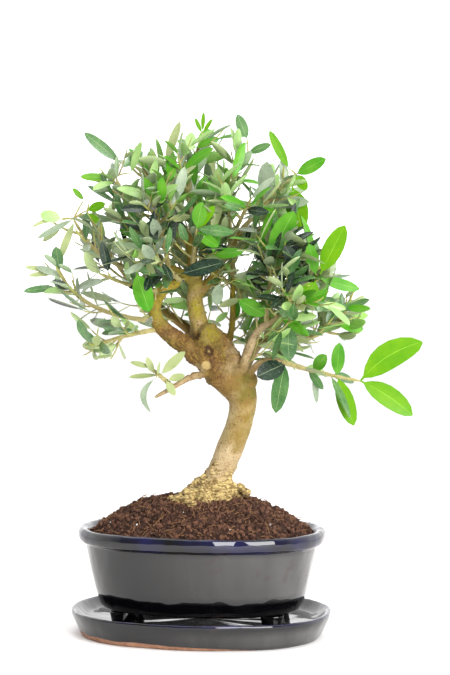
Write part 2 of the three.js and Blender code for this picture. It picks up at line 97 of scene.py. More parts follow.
# The rule that the masses of leaves grow by.
SEED = 20261
MASS_SEEDS = 4096
JOINT_SEEDS = 64
SIDE_SEEDS = 32
PAIR_SEEDS = 4
STEM_BARE = 0.3
STEM_JOINT = 9.5
TWIG_LENGTH = (17.0, 30.0)
TWIG_ROOM = 0.95
TWIG_BARE = 0.36
TWIG_JOINT = 8.5
TWIG_CHANCE = 0.6
TWIG_LAST = 0.86
TWIG_END = 0.97
TWIG_SPREAD = math.radians(52)
TWIG_LIFT = 0.3
TWIG_SHORTER = 0.4
TWIG_PROBES = tuple((i + 1) / 6 for i in range(6))
LIMB_PROBES = (0.4, 0.6, 0.8, 1.0)
PHASE_SWAY = 0.5
LEAF_SHARE = (0.72, 1.12)
LEAF_WIDTH = (0.44, 0.54)
LEAF_LEAN = (math.radians(38), math.radians(68))
END_LEAF_LEAN = math.radians(26)
LEAF_TWIST = 0.7
LEAF_STRAY = 1.1
FACING_STRAY = 0.55
LEAF_UPTURN = 0.35
LEAF_OFFSET = 0.22
LEAF_SHRINK = 0.92
LEAF_DROOP = (-0.05, 0.16)
LEAF_WIDEST = 0.5
LEAF_FOLD = 0.1
LEAF_TRIES = 4
LEAF_ROOM = 0.7
LEAF_SLIM = 0.6
LEAF_PROBES = (0.35, 0.55, 0.75, 0.95)
BLADE_START = 0.3
SPACE_CENTRE = 0.72
SPACE_MARGIN = 0.2
LIMB_MARGIN = 0.5
LIMB_SAMPLE = 1.2
CLEARING = (np.array((-23.0, -120.0, 100.0)), np.array((28.0, 120.0, 201.0)))
CURVE_CHORDS = 200
TANGENT_STEP = 1e-4
TINY = 1e-9

# Soft noise: how fast its finer layers fade, and how much finer each one is.
CLOUD_FADE = 0.9
CLOUD_STEP = 2.0


def lerp(span: Span, share: float) -> float:
    """The value a share of the way along a span."""
    return span[0] + (span[1] - span[0]) * share


def unit(vector: Array) -> Array:
    """The vector at length one."""
    return vector / np.linalg.norm(vector)


def square_to(direction: Array) -> Array:
    """A direction square to the given one."""
    other = SIDEWAYS if abs(direction[2]) > STEEP else UP
    return unit(np.cross(direction, other))


def srgb(red: float, green: float, blue: float) -> Colour:
    """A linear colour from screen values of 0 to 255.

    Args:
        red: Red on screen.
        green: Green on screen.
        blue: Blue on screen.

    Returns:
        The linear colour with full alpha.
    """
    shares = [value / 255 for value in (red, green, blue)]
    linear = [s / 12.92 if s <= 0.04045 else ((s + 0.055) / 1.055) ** 2.4 for s in shares]
    return (linear[0], linear[1], linear[2], 1.0)


class Dice:
    """Random numbers from 0 to 1 that repeat for the same seed, drawn as the solids draw them."""

    def __init__(self, seed: int) -> None:
        """Starts from a seed."""
        self.state = seed & WORD

    def roll(self) -> float:
        """The next number.

        Returns:
            A number from 0 up to 1.
        """
        self.state = (self.state + 0x6D2B79F5) & WORD
        mixed = ((self.state ^ (self.state >> 15)) * (1 | self.state)) & WORD
        mixed = ((mixed + (mixed ^ (mixed >> 7)) * (61 | mixed)) & WORD) ^ mixed
        return (mixed ^ (mixed >> 14)) / (WORD + 1)

    def within(self, span: Span) -> float:
        """The next number, spread over a span."""
        return lerp(span, self.roll())


@dataclass
class Limb:
    """A smooth centreline through points, with the radii that it runs through."""

    points: Array
    radii: tuple[float, ...]

    def point(self, u: float) -> Array:
        """A point of the centreline.

        Args:
            u: The share of the way along, from 0 to 1.

        Returns:
            The point, in millimetres.
        """
        last = len(self.points) - 1
        low = min(int(u * last), last - 1)
        share = u * last - low
        before = self.points[low - 1] if low > 0 else 2 * self.points[0] - self.points[1]
        start, end = self.points[low], self.points[low + 1]
        after = self.points[low + 2] if low + 2 <= last else 2 * self.points[last] - self.points[last - 1]
        leave, arrive = (end - before) / 2, (after - start) / 2
        square, cube = share**2, share**3
        bend = (3 * end - 3 * start - 2 * leave - arrive) * square
        return start + leave * share + bend + (2 * start - 2 * end + leave + arrive) * cube

    def radius(self, u: float) -> float:
        """The radius a share of the way along."""
        return float(np.interp(u, np.linspace(0, 1, len(self.radii)), self.radii))


@dataclass
class Bend:
    """A twig's centreline that one point draws out of line."""

    start: Array
    via: Array
    tip: Array
    radii: tuple[float, ...]

    def point(self, u: float) -> Array:
        """The point a share of the way along."""
        return (1 - u) ** 2 * self.start + 2 * (1 - u) * u * self.via + u**2 * self.tip

    def radius(self, u: float) -> float:
        """The radius a share of the way along."""
        return lerp((self.radii[0], self.radii[-1]), u)


Path = Limb | Bend


def tangent(path: Path, u: float) -> Array:
    """The direction of a path a share of the way along."""
    ahead, behind = min(1.0, u + TANGENT_STEP), max(0.0, u - TANGENT_STEP)
    return unit(path.point(ahead) - path.point(behind))


def path_length(path: Path) -> float:
    """The length of a path, by chords."""
    points = np.array([path.point(i / CURVE_CHORDS) for i in range(CURVE_CHORDS + 1)])
    return float(np.linalg.norm(np.diff(points, axis=0), axis=1).sum())


def joint_frame(path: Path, u: float, phase: float) -> tuple[Array, Array]:
    """Directions at a joint of a twig.

    Args:
        path: The twig's centreline.
        u: The joint's place along it.
        phase: The angle round it.

    Returns:
        The direction along the twig, and outward at the phase.
    """
    along = tangent(path, u)
    side = square_to(along)
    rise = np.cross(side, along)
    return along, side * math.cos(phase) + rise * math.sin(phase)


def points_along(path: Path, places: tuple[float, ...]) -> Array:
    """The points of a path at several places along it."""
    return np.array([path.point(u) for u in places])


def joint_places(path: Path, bare: float, spacing: float) -> list[float]:
    """The places of the joints along a path, from its bare part to just short of its end.

    Args:
        path: The centreline.
        bare: The share of it without joints.
        spacing: The distance between joints in millimetres.

    Returns:
        The share of the way along of each joint.
    """
    leafy = path_length(path) * (1 - bare)
    count = max(1, math.floor(leafy / spacing + 0.5))
    return [bare + (1 - bare) * i / count for i in range(count)]


def reach_to_triangles(points: Array, a: Array, b: Array, c: Array) -> Array:
    """Distances from points to triangles, as far as the arrays' shapes pair up.

    Args:
        points: The points.
        a: First corners.
        b: Second corners.
        c: Third corners.

    Returns:
        The distance of each pair.
    """
    normal = np.cross(b - a, c - a)
    size = np.maximum(np.linalg.norm(normal, axis=-1), TINY)
    nearest = np.abs(((points - a) * normal).sum(-1)) / size
    inside = np.ones(nearest.shape, bool)
    edges = []
    for start, end in ((a, b), (b, c), (c, a)):
        edge, offset = end - start, points - start
        inside &= (np.cross(np.broadcast_to(edge, offset.shape), offset) * normal).sum(-1) >= 0
        share = np.clip((offset * edge).sum(-1) / np.maximum((edge * edge).sum(-1), TINY), 0, 1)
        edges.append(np.linalg.norm(offset - share[..., None] * edge, axis=-1))
    return np.where(inside, nearest, np.minimum.reduce(edges))


class Tone(Enum):
    """The colours that leaves are dealt out in."""

    DEEP = "deep"
    DARK = "dark"
    SILVER = "silver"
    SAGE = "sage"
    MINT = "mint"
    GREEN = "green"
    LIME = "lime"


@dataclass
class Leaf:
    """One leaf: its place, the way that it points and faces, and its size."""

    root: Array
    along: Array
    face: Array
    length: float
    width: float
    droop: float
    tone: Tone | None = None
    bow: float | None = None

    def corners(self) -> Array:
        """The corners of the solids' folded leaf.

        Returns:
            Its root, left edge, right edge and tip.
        """
        across = np.cross(self.face, self.along)
        middle = self.length * LEAF_WIDEST
        raised = self.width * LEAF_FOLD - middle * self.droop
        shoulder = self.root + self.along * middle + self.face * raised
        tip = self.root + self.along * self.length - self.face * self.length * self.droop
        edge = across * self.width / 2
        return np.array((self.root, shoulder - edge, shoulder + edge, tip))


@dataclass
class Spray:
    """A twig with the leaves that it carries."""

    path: Path
    leaves: list[Leaf] = field(default_factory=list)


@dataclass(frozen=True)
class Habit:
    """How one mass grows: its stem's place on a bough, its reach, its leaf length and what sets it apart."""

    parent: str
    at: float
    via: Place
    tip: Place
    leaf: float
    young: bool = False
    single: bool = False
    joint: float = STEM_JOINT
    end_leaf: float = 0.0
    facing: Place | None = None


@dataclass(frozen=True)
class ShowLeaf:
    """A leaf that stands out: its place along the stem, where its root and tip are, its width and colour."""

    at: float
    tip: Place
    share: float
    tone: Tone
    root: Place | None = None
    face: Place = (-0.25, -1.0, 0.25)
    droop: float = 0.06
    bow: float = 0.0


TRUNK_POINTS = np.array((
    (5.4, 0, 74), (7, 0, 84), (11.1, 0, 97), (18.1, 0, 114.5), (22.2, 0.5, 127.4),
    (23.2, 1, 137.9), (19.4, 1, 147.3), (11.7, 0.5, 156), (4.1, 0, 164.8), (0, 0, 173),
))
TRUNK_RADII = (10, 9.2, 7.7, 7.8, 7.5, 8.2, 10.8, 11.8, 10.8, 8)
ROOT_REACHES = {188: 21.0, 238: 19.0, 310: 17.0, 12: 18.0, 75: 16.0, 130: 17.0}
TRUNK_FOOT = np.array((6.2, 0, GROUND))
ROOT_START = np.array((11.0, 0, 96))
ROOT_BEND = 0.5
ROOT_SINK = 3.0
ROOT_RADII = (5.0, 6.2, 3.0)


def bough(radii: Span, *points: Place) -> Limb:
    """A bough from the radius at its root and tip and the points of its centreline."""
    return Limb(np.array(points, float), radii)


BOUGHS = {
    "leader": bough((5.8, 4.2), (1, 0, 168), (-2.9, 1, 183.5), (-5.3, 2, 196.4), (-4.1, 3, 208)),
    "left_bough": bough((6.4, 4.2), (6, -3, 157), (-7, -6, 167), (-17.5, -8, 174.7), (-25.7, -9, 181)),
    "left_hook": bough(
        (4.1, 3), (-25.9, -9, 181.6), (-28.4, -9, 191.7), (-24, -7, 201.6), (-14, -5, 207.5)
    ),
    "right_bough": bough((4, 2.5), (21.5, -3, 146), (25, -6.5, 164), (32, -7, 179), (41.5, -6, 185.9)),
    "right_middle_bough": bough(
        (2.6, 1.6), (23, 4, 150), (29.2, 6, 164.8), (36.3, 7, 171.2), (49.7, 7, 171.8)
    ),
    "right_low_bough": bough((2.3, 1.5), (23, -4, 148.5), (34, -9.5, 161), (46, -12, 161.3)),
    "upright_bough": bough((2.1, 1.5), (11, 5, 160), (16.4, 10, 178.8), (17, 11, 196.4), (17, 11, 210.4)),
    "low_left_bough": bough(
        (2.2, 1.1), (4, -5, 154.5), (-8.8, -10, 150.8), (-18.7, -11, 145), (-28, -11, 139.7)
    ),
    "crown_left_bough": bough(
        (2.9, 1.9), (-4.5, 2.5, 204), (-14, 1, 212.4), (-27.5, -2, 215.6), (-39, -5, 214)
    ),
    "crown_middle_bough": bough(
        (3.5, 2.1), (-4.3, 3, 206), (-7, 2, 218.6), (-8.2, 0, 231.5), (-5.8, -1, 242)
    ),
    "crown_right_bough": bough((3, 1.9), (-4.6, 2, 198), (5, 3, 209.3), (12, 4, 222.1), (21, 3, 236.2)),
    "crown_back_bough": bough((3.2, 1.9), (-5, 2, 195), (-4, 15, 204), (-1, 28, 215)),
    "back_left_bough": bough((3.4, 1.9), (3, 2, 165), (-9, 16, 178), (-23, 30, 188), (-36, 40, 197)),
    "back_right_bough": bough((3.2, 1.8), (19, 3, 148), (27, 18, 162), (37, 32, 173), (47, 42, 182)),
}

# How young, or how pale, a limb's bark is.
YOUNG_BARK = {
    "leader": 0.7, "left_hook": 0.95, "upright_bough": 0.9, "crown_left_bough": 0.6,
    "crown_middle_bough": 0.6, "crown_right_bough": 0.6,
}
PALE_BARK = {
    "leader": 0.5, "right_bough": 1.0, "right_middle_bough": 0.6, "right_low_bough": 0.4,
    "low_left_bough": 0.8,
}

# Limbs that the bark draws in a little from the solids.
SLIM_LIMBS = {"right_bough": 0.8}

MASSES = {
    "left_low_foliage": Habit("left_hook", 0.08, (-74, -13, 187), (-84, -12, 214), 21),
    "left_hanging_foliage": Habit("left_bough", 0.93, (-45, -15, 177), (-68, -18, 168), 20),
    "left_middle_foliage": Habit("left_hook", 0.62, (-40, -16, 203), (-60, -26, 212), 22),
    "left_upper_foliage": Habit("crown_left_bough", 1, (-62, -6, 216), (-76, -6, 243), 21),
    "upper_left_foliage": Habit("crown_left_bough", 0.8, (-40, -1, 236), (-52, -2, 268), 21),
    "top_left_foliage": Habit("crown_middle_bough", 0.55, (-25, 6, 243), (-38, 12, 278), 22),
    "top_foliage": Habit("crown_middle_bough", 1, (-14, 4, 266), (-2, 6, 289), 21),
    "top_right_foliage": Habit("crown_middle_bough", 0.74, (8, -6, 262), (25, -8, 282), 22),
    "right_top_foliage": Habit("crown_right_bough", 1, (35, 0, 254), (53, -3, 270), 26, young=True),
    "right_foliage": Habit("right_bough", 1, (56, -7, 196), (66, -8, 211), 27),
    "right_inner_foliage": Habit("right_bough", 0.84, (36, -14, 206), (44, -24, 230), 23),
    "right_middle_foliage": Habit("right_middle_bough", 1, (72, 9, 173), (86, 12, 193), 20),
    "right_low_shoot": Habit(
        "right_low_bough", 1, (66, -17, 155), (91, -20, 151), 27, True, True, 15, 42, (0.2, -1.2, 0.5)
    ),
    "low_left_foliage": Habit(
        "low_left_bough", 0.62, (-23, -13, 151), (-31, -16, 158), 19, False, True, 6, 0, (-0.2, -1, 0.4)
    ),
    "upright_foliage": Habit("upright_bough", 1, (17, 13, 226), (14, 20, 250), 20),
    "front_foliage": Habit("crown_middle_bough", 0.3, (-6, -16, 222), (-4, -36, 238), 21, young=True),
    "front_upper_left_foliage": Habit("crown_left_bough", 0.5, (-24, -14, 236), (-30, -28, 254), 21),
    "front_upper_right_foliage": Habit("crown_right_bough", 0.72, (18, -14, 238), (27, -30, 256), 21),
    "front_left_foliage": Habit("left_hook", 1, (-18, -22, 214), (-36, -44, 226), 22),
    "front_right_foliage": Habit("right_bough", 0.93, (46, -22, 189), (58, -46, 198), 20),
    "back_left_foliage": Habit("back_left_bough", 1, (-50, 50, 208), (-62, 58, 230), 21),
    "back_right_foliage": Habit("back_right_bough", 1, (60, 53, 192), (68, 60, 214), 21),
    "back_top_foliage": Habit("crown_back_bough", 1, (1, 42, 236), (4, 52, 262), 21),
    "back_upper_left_foliage": Habit("crown_back_bough", 0.72, (-22, 36, 236), (-40, 46, 258), 21),
    "back_upper_right_foliage": Habit("crown_back_bough", 0.86, (22, 36, 230), (44, 44, 246), 21),
}

# The crown seen from the front: the line that leaves keep within, and round gaps of open sky.
CROWN_OUTLINE = (
    (-104, 200), (-97, 219), (-98, 236), (-85, 254), (-70, 268), (-52, 280), (-40, 289), (-22, 294),
    (-2, 296), (22, 301), (31, 290), (38, 294), (52, 278), (62, 262), (56, 246), (66, 234), (84, 238),
    (85, 214), (94, 202), (102, 190), (96, 181), (76, 167), (52, 152), (35, 150), (22, 168), (-30, 178),
    (-34, 168), (-50, 159), (-68, 160), (-74, 171), (-76, 188),
)
SKY_GAPS = (
    (-50, 202, 5.5), (-80, 237, 5.5), (-77, 223, 4.0), (-52, 212, 4.5), (-62, 252, 4.0), (-32, 246, 4.0),
    (-42, 268, 3.5), (22, 243, 4.0), (22, 258, 3.5), (31, 270, 3.5), (35, 283, 7.0), (12, 199, 3.5),
    (24, 218, 3.0), (74, 222, 4.0), (-41, 188, 3.0), (-45, 197, 5.0), (-45, 174, 4.0), (-56, 236, 4.0),
    (-92, 205, 3.5), (-79, 208, 3.0), (76, 203, 4.0), (74, 174, 4.0), (-38, 170, 6.0), (-76, 251, 5.0),
    (85, 217, 5.0), (88, 162, 6.0),
)

# Round windows in the front view, through which the limbs show between the leaves.
WOOD_WINDOWS = ((-13, 221, 8.0), (-6, 208, 8.0), (-52, 240, 3.0), (-68, 232, 3.0), (36, 186, 5.0))
WINDOW_DEPTH = -2.0


@dataclass(frozen=True)
class ToneZone:
    """A part of the crown seen from the front, with the share of each colour in its sprays."""

    across: float
    high: float
    shares: dict[Tone, float]


def zone(across: float, high: float, **shares: float) -> ToneZone:
    """A zone from its place and the share of each colour by name."""
    return ToneZone(across, high, {Tone(name): share for name, share in shares.items()})


# The zones give the top of the crown paler tones, painted light for backlit leaves, and its middle and left
# deeper tones, painted shade, mixed in with the leaves' own spread of colours.
TONE_ZONES = (
    zone(-20, 280, mint=0.45, silver=0.15, green=0.2, dark=0.05, sage=0.15),
    zone(25, 275, mint=0.45, silver=0.15, green=0.2, dark=0.05, sage=0.15),
    zone(-60, 250, silver=0.25, mint=0.25, deep=0.2, dark=0.25, sage=0.05),
    zone(-85, 205, silver=0.25, deep=0.3, dark=0.3, mint=0.1, sage=0.05),
    zone(-62, 170, sage=0.2, silver=0.2, mint=0.15, dark=0.45),
    zone(-25, 235, deep=0.3, dark=0.3, silver=0.15, green=0.15, sage=0.1),
    zone(10, 235, deep=0.25, dark=0.25, green=0.25, sage=0.15, mint=0.1),
    zone(10, 200, sage=0.25, mint=0.3, dark=0.25, green=0.2),
    zone(45, 215, deep=0.35, dark=0.35, green=0.2, sage=0.1),
    zone(45, 180, sage=0.2, dark=0.35, mint=0.25, green=0.2),
    zone(-26, 152, sage=0.6, silver=0.4),
    zone(80, 190, sage=0.15, mint=0.1, dark=0.45, green=0.3),
)

# Limbs that also carry short leafy twigs of their own, with the stretch of each that does.
LEAFY_LIMBS = {
    "leader": (0.2, 1.0), "left_hook": (0.1, 0.95), "upright_bough": (0.08, 1.0),
    "right_bough": (0.15, 0.95), "right_middle_bough": (0.15, 0.95), "crown_left_bough": (0.2, 0.95),
    "crown_middle_bough": (0.1, 0.95), "crown_right_bough": (0.1, 0.95), "crown_back_bough": (0.1, 0.95),
    "back_left_bough": (0.3, 0.95), "back_right_bough": (0.12, 0.95),
}

# Leaves that stand out in the crown, by the mass that carries them.
SHOW_LEAVES = {
    "right_low_shoot": (
        ShowLeaf(1.0, (126, -24, 174), 0.38, Tone.LIME, bow=0.34),
        ShowLeaf(1.0, (120.6, -27, 132), 0.34, Tone.LIME, bow=0.16),
        ShowLeaf(0.73, (87.2, -24, 125.6), 0.34, Tone.LIME),
        ShowLeaf(0.72, (78.6, -22, 173), 0.4, Tone.GREEN),
        ShowLeaf(0.42, (71, -23, 166), 0.55, Tone.GREEN),
        ShowLeaf(0.36, (69.5, -20, 146), 0.32, Tone.DARK),
        ShowLeaf(0.44, (66, -18, 138), 0.2, Tone.SILVER),
        ShowLeaf(0.04, (42.4, -17, 132), 0.34, Tone.DARK),
        ShowLeaf(0.06, (31.4, -19, 153), 0.6, Tone.DEEP, face=(-0.9, -1, -0.1)),
        ShowLeaf(0.1, (48.8, -18, 184.6), 0.42, Tone.DARK),
    ),
    "right_foliage": (
        ShowLeaf(1.0, (80, -40, 240.5), 0.39, Tone.LIME, root=(66.5, -38, 213)),
        ShowLeaf(1.0, (59.8, -42, 230), 0.4, Tone.GREEN, root=(64, -38, 212.5)),
        ShowLeaf(1.0, (88.5, -39, 204.5), 0.3, Tone.GREEN, root=(66.5, -38, 210)),
        ShowLeaf(1.0, (56.6, -46, 196), 0.62, Tone.LIME, root=(64, -38, 209)),
        ShowLeaf(0.9, (46, -36, 229), 0.42, Tone.DEEP, root=(55.5, -35, 214)),
    ),
    "right_top_foliage": (
        ShowLeaf(1.0, (37.4, -7, 295), 0.22, Tone.LIME, root=(49, -5, 273)),
        ShowLeaf(1.0, (70, -9, 279), 0.4, Tone.GREEN),
        ShowLeaf(1.0, (59, -10, 261), 0.5, Tone.LIME),
        ShowLeaf(0.8, (56.5, -9, 238), 0.5, Tone.LIME, root=(51, -5, 263)),
        ShowLeaf(0.5, (60.5, -12, 254), 0.28, Tone.SILVER),
        ShowLeaf(0.5, (36, -9, 277), 0.42, Tone.SILVER),
    ),
    "right_inner_foliage": (
        ShowLeaf(0.85, (51.3, -31, 248.3), 0.44, Tone.GREEN, root=(38.1, -29, 222)),
        ShowLeaf(0.3, (35.4, -26, 189), 0.5, Tone.GREEN, root=(19.6, -23, 197.5)),
    ),
    "top_foliage": (
        ShowLeaf(1.0, (-6, 5, 302.5), 0.26, Tone.LIME, root=(-2, 6, 294)),
        ShowLeaf(1.0, (-1, 5, 306), 0.22, Tone.LIME, root=(-1.6, 6, 295)),
        ShowLeaf(1.0, (4, 4, 302), 0.26, Tone.LIME, root=(-1.2, 6, 294)),
        ShowLeaf(0.9, (-16, -2, 289), 0.4, Tone.LIME, root=(-5, 2, 285)),
        ShowLeaf(0.9, (4, -3, 290), 0.4, Tone.GREEN, root=(-5, 2, 285)),
        ShowLeaf(0.7, (-14.6, -3, 300), 0.22, Tone.SAGE, root=(-23, 1, 277)),
    ),
    "low_left_foliage": (
        ShowLeaf(0.9, (-32.5, -18, 163.5), 0.4, Tone.SAGE, root=(-28.6, -16, 154)),
        ShowLeaf(0.6, (-10.5, -19, 167), 0.3, Tone.SAGE, root=(-24.4, -16, 153.5)),
        ShowLeaf(0.3, (-10.5, -17, 153), 0.45, Tone.SAGE, root=(-20.2, -15, 150.6)),
        ShowLeaf(0.2, (-16, -17, 141.5), 0.45, Tone.SAGE, root=(-21.3, -15, 149.8)),
        ShowLeaf(0.7, (-30, -18, 131.5), 0.2, Tone.SILVER, root=(-27, -16, 151.5), bow=-1.2),
    ),
    "front_foliage": (
        ShowLeaf(1.0, (-1, -41, 253), 0.55, Tone.GREEN),
        ShowLeaf(1.0, (6, -38, 251), 0.36, Tone.LIME),
        ShowLeaf(1.0, (17, -42, 236), 0.3, Tone.DARK),
        ShowLeaf(0.95, (8, -44, 228), 0.36, Tone.GREEN),
    ),
    "front_left_foliage": (
        ShowLeaf(0.8, (-30.5, -43, 191), 0.48, Tone.GREEN, root=(-38, -40, 213)),
        ShowLeaf(0.25, (11.5, -30, 219), 0.36, Tone.DEEP, root=(-13, -27, 212)),
    ),
    "upright_foliage": (
        ShowLeaf(0.1, (7.4, -9, 193.8), 0.55, Tone.SILVER, root=(9.1, -8, 206.6)),
        ShowLeaf(0.05, (9, 6, 192.5), 0.32, Tone.SAGE, root=(22, 8, 197)),
        ShowLeaf(0.05, (7.3, 8, 183.2), 0.4, Tone.MINT, root=(14.4, 12, 189)),
        ShowLeaf(0.05, (17.5, 16, 184), 0.5, Tone.GREEN, root=(20, 14, 196)),
        ShowLeaf(0.05, (24, 14, 177), 0.45, Tone.MINT, root=(26, 14, 186)),
    ),
    "upper_left_foliage": (
        ShowLeaf(1.0, (-70, -5, 293), 0.24, Tone.DARK, root=(-49, -3, 276)),
        ShowLeaf(1.0, (-37, -8, 288), 0.24, Tone.MINT, root=(-43, -4, 270)),
        ShowLeaf(0.9, (-71.9, -10, 267.5), 0.28, Tone.LIME, root=(-55, -8, 267)),
    ),
    "left_upper_foliage": (
        ShowLeaf(1.0, (-76.3, -9, 260.7), 0.34, Tone.LIME, root=(-70, -8, 254)),
        ShowLeaf(1.0, (-57.6, -10, 252), 0.5, Tone.LIME, root=(-68, -8, 248)),
        ShowLeaf(1.0, (-59.9, -12, 241), 0.38, Tone.LIME, root=(-69, -8, 246)),
        ShowLeaf(1.0, (-95.3, -8, 245.5), 0.57, Tone.MINT, root=(-83, -7, 243)),
        ShowLeaf(1.0, (-100, -8, 238), 0.14, Tone.SAGE, root=(-83.6, -7, 242), bow=-0.4),
        ShowLeaf(1.0, (-96.8, -9, 231.5), 0.16, Tone.SILVER),
        ShowLeaf(0.98, (-84, -12, 218.6), 0.18, Tone.SAGE),
    ),
    "left_low_foliage": (
        ShowLeaf(0.97, (-103.8, -12, 215), 0.16, Tone.SAGE),
        ShowLeaf(0.97, (-101.4, -13, 210), 0.18, Tone.SAGE),
        ShowLeaf(0.8, (-104, -16, 201), 0.23, Tone.DARK, root=(-85, -14, 203.6)),
        ShowLeaf(0.75, (-87.4, -17, 207.5), 0.36, Tone.DEEP),
        ShowLeaf(0.98, (-85.6, -14, 226.8), 0.5, Tone.DARK),
    ),
    "top_right_foliage": (
        ShowLeaf(1.0, (18.7, -10, 304), 0.42, Tone.DARK, root=(24.6, -9, 290)),
        ShowLeaf(1.0, (38, -12, 287), 0.36, Tone.DARK),
    ),
}


class LeafBook:
    """The leaves that have their places, as triangles, for keeping new ones clear of them."""

    ROOM = 6000

    def __init__(self) -> None:
        """Starts empty."""
        self.corners = np.zeros((self.ROOM, 3, 3))
        self.count = 0

    def add(self, corners: Array) -> None:
        """Writes in the two halves of a leaf.

        Args:
            corners: Its root, left edge, right edge and tip.
        """
        root, left, right, tip = corners
        self.corners[self.count] = (root, left, tip)
        self.corners[self.count + 1] = (root, tip, right)
        self.count += 2

    def crossed(self, corners: Array) -> bool:
        """Whether a leaf comes too near to one in the book.

        Args:
            corners: Its root, left edge, right edge and tip.

        Returns:
            Whether it does.
        """
        if self.count == 0:
            return False
        root, left, right, tip = corners
        probes = [root + (tip - root) * far for far in LEAF_PROBES] + [left, right]
        held = self.corners[: self.count]
        points = np.array(probes)[:, None, :]
        return bool((reach_to_triangles(points, held[:, 0], held[:, 1], held[:, 2]) < LEAF_ROOM).any())


@dataclass
class Mass:
    """One mass of leaves as it grows: its stem, its sprays and the leaves that have their places."""

    name: str
    habit: Habit
    stem: Spray
    centre: Array
    twigs: list[Spray] = field(default_factory=list)
    book: LeafBook = field(default_factory=LeafBook)
    reach: float = 0.0

    def sprays(self) -> list[Spray]:
        """The stem and every twig."""
        return [self.stem, *self.twigs]


@dataclass
class Crown:
    """The boughs' masses of leaves, grown by the solids' rule and then carried to finer twigs."""

    stem_radii: Span = (1.6, 0.8)
    twig_radii: Span = (0.85, 0.5)
    fine_radii: Span = (0.5, 0.3)
    fine_length: Span = (10.0, 19.0)
    fine_chance: float = 0.74
    fine_spread: float = math.radians(48)
    fine_bare: float = 0.3
    fine_joint: float = 6.5
    fine_bare_share: float = 0.6
    fine_joint_share: float = 0.7
    fine_flat: float = 0.6
    fine_outward: float = 0.3
    middle: Place = (0.0, 0.0, 215.0)
    fine_phase: float = QUARTER_TURN / 2
    fine_seed: int = 700001
    odd_leaf: float = 0.3
    limb_joint: float = 6.5
    limb_twig: Span = (12.0, 24.0)
    limb_leaf: float = 17.0
    limb_depth: float = 0.7
    limb_seed: int = 810001
    behind: float = 6.0
    masses: dict[str, Mass] = field(default_factory=dict)
    limb_sprays: list[Spray] = field(default_factory=list)

    def __post_init__(self) -> None:
        """Sets out the stems and the wood that leaves keep clear of."""
        trunk = Limb(TRUNK_POINTS, TRUNK_RADII)
        self.wood = self.balls([trunk, *BOUGHS.values()])
        for name, habit in MASSES.items():
            start = BOUGHS[habit.parent].point(habit.at)
            via, tip = np.array(habit.via, float), np.array(habit.tip, float)
            stem = Bend(start, via, tip, self.stem_radii)
            self.masses[name] = Mass(name, habit, Spray(stem), stem.point(SPACE_CENTRE))
        self.all_leaves = LeafBook()
        self.flatten = np.array((1.0, 1.0, self.fine_flat))

    @staticmethod
    def balls(paths: list[Path]) -> Array:
        """Fills limbs with balls.

        Args:
            paths: The limbs.

        Returns:
            A row for each ball, with its centre and radius.
        """
        rows = []
        for path in paths:
            steps = math.ceil(path_length(path) / LIMB_SAMPLE)
            rows += [(*path.point(i / steps), path.radius(i / steps)) for i in range(steps + 1)]
        return np.array(rows)

    def obstacles(self, name: str) -> Array:
        """The wood that a mass keeps clear of: every limb, and the stems of the other masses."""
        stems = [m.stem.path for other, m in self.masses.items() if other != name]
        return np.vstack((self.wood, self.balls(stems)))

    def inside_space(self, name: str, points: Array) -> bool:
        """Whether points lie in the mass's own space, outside the clearing round the fork.

        Args:
            name: The mass.
            points: The points, one row each.

        Returns:
            Whether all of them do.
        """
        if self.in_clearing(points):
            return False
        own = self.masses[name].centre
        others = np.array([m.centre for m in self.masses.values() if m.name != name])
        far = ((points[:, None, :] - others) ** 2).sum(-1) - ((points - own) ** 2).sum(-1)[:, None]
        return bool((far / (2 * np.linalg.norm(others - own, axis=1)) > SPACE_MARGIN).all())

    @staticmethod
    def in_gaps(points: Array) -> bool:
        """Whether points lie, from the front, in a gap of sky or before a window.

        Args:
            points: The points, one row each.

        Returns:
            Whether any of them does.
        """
        front = points[points[:, 1] < WINDOW_DEPTH]
        for seen, gaps in ((points, SKY_GAPS), (front, WOOD_WINDOWS)):
            for across, high, radius in gaps:
                if (np.hypot(seen[:, 0] - across, seen[:, 2] - high) < radius).any():
                    return True
        return False

    @staticmethod
    def in_outline(points: Array) -> bool:
        """Whether points lie, from the front, within the crown's outline.

        Args:
            points: The points, one row each.

        Returns:
            Whether all of them do.
        """
        for x, _, z in points:
            inside = False
            for (xa, za), (xb, zb) in zip(CROWN_OUTLINE, CROWN_OUTLINE[1:] + CROWN_OUTLINE[:1]):
                if (za > z) != (zb > z) and x < xa + (z - za) / (zb - za) * (xb - xa):
                    inside = not inside
            if not inside:
                return False
        return True

    @staticmethod
    def blade_samples(corners: Array) -> Array:
        """Points over a leaf.

        Args:
            corners: Its root, left edge, right edge and tip.

        Returns:
            The points, one row each.
        """
        root, left, right, tip = corners
        start, middle = root + (tip - root) * BLADE_START, (left + right) / 2
        return np.array((start, middle, left, right, (left + tip) / 2, (right + tip) / 2, tip))

    @staticmethod
    def in_clearing(points: Array) -> bool:
        """Whether a point lies in the open air round the fork."""
        return bool(((points > CLEARING[0]) & (points < CLEARING[1])).all(axis=1).any())

    @staticmethod
    def near_wood(corners: Array, wood: Array) -> bool:
        """Whether a leaf comes too near to a limb.

        Args:
            corners: Its root, left edge, right edge and tip.
            wood: The balls that fill the limbs.

        Returns:
            Whether it does.
        """
        root, left, right, tip = corners
        reach = np.linalg.norm(corners - root, axis=1).max()
        close = wood[np.linalg.norm(wood[:, :3] - root, axis=1) < reach + wood[:, 3] + LIMB_MARGIN]
        room = close[:, 3] + LIMB_MARGIN
        halves = ((root, left, tip), (root, tip, right))
        return any((reach_to_triangles(close[:, :3], *half) < room).any() for half in halves)

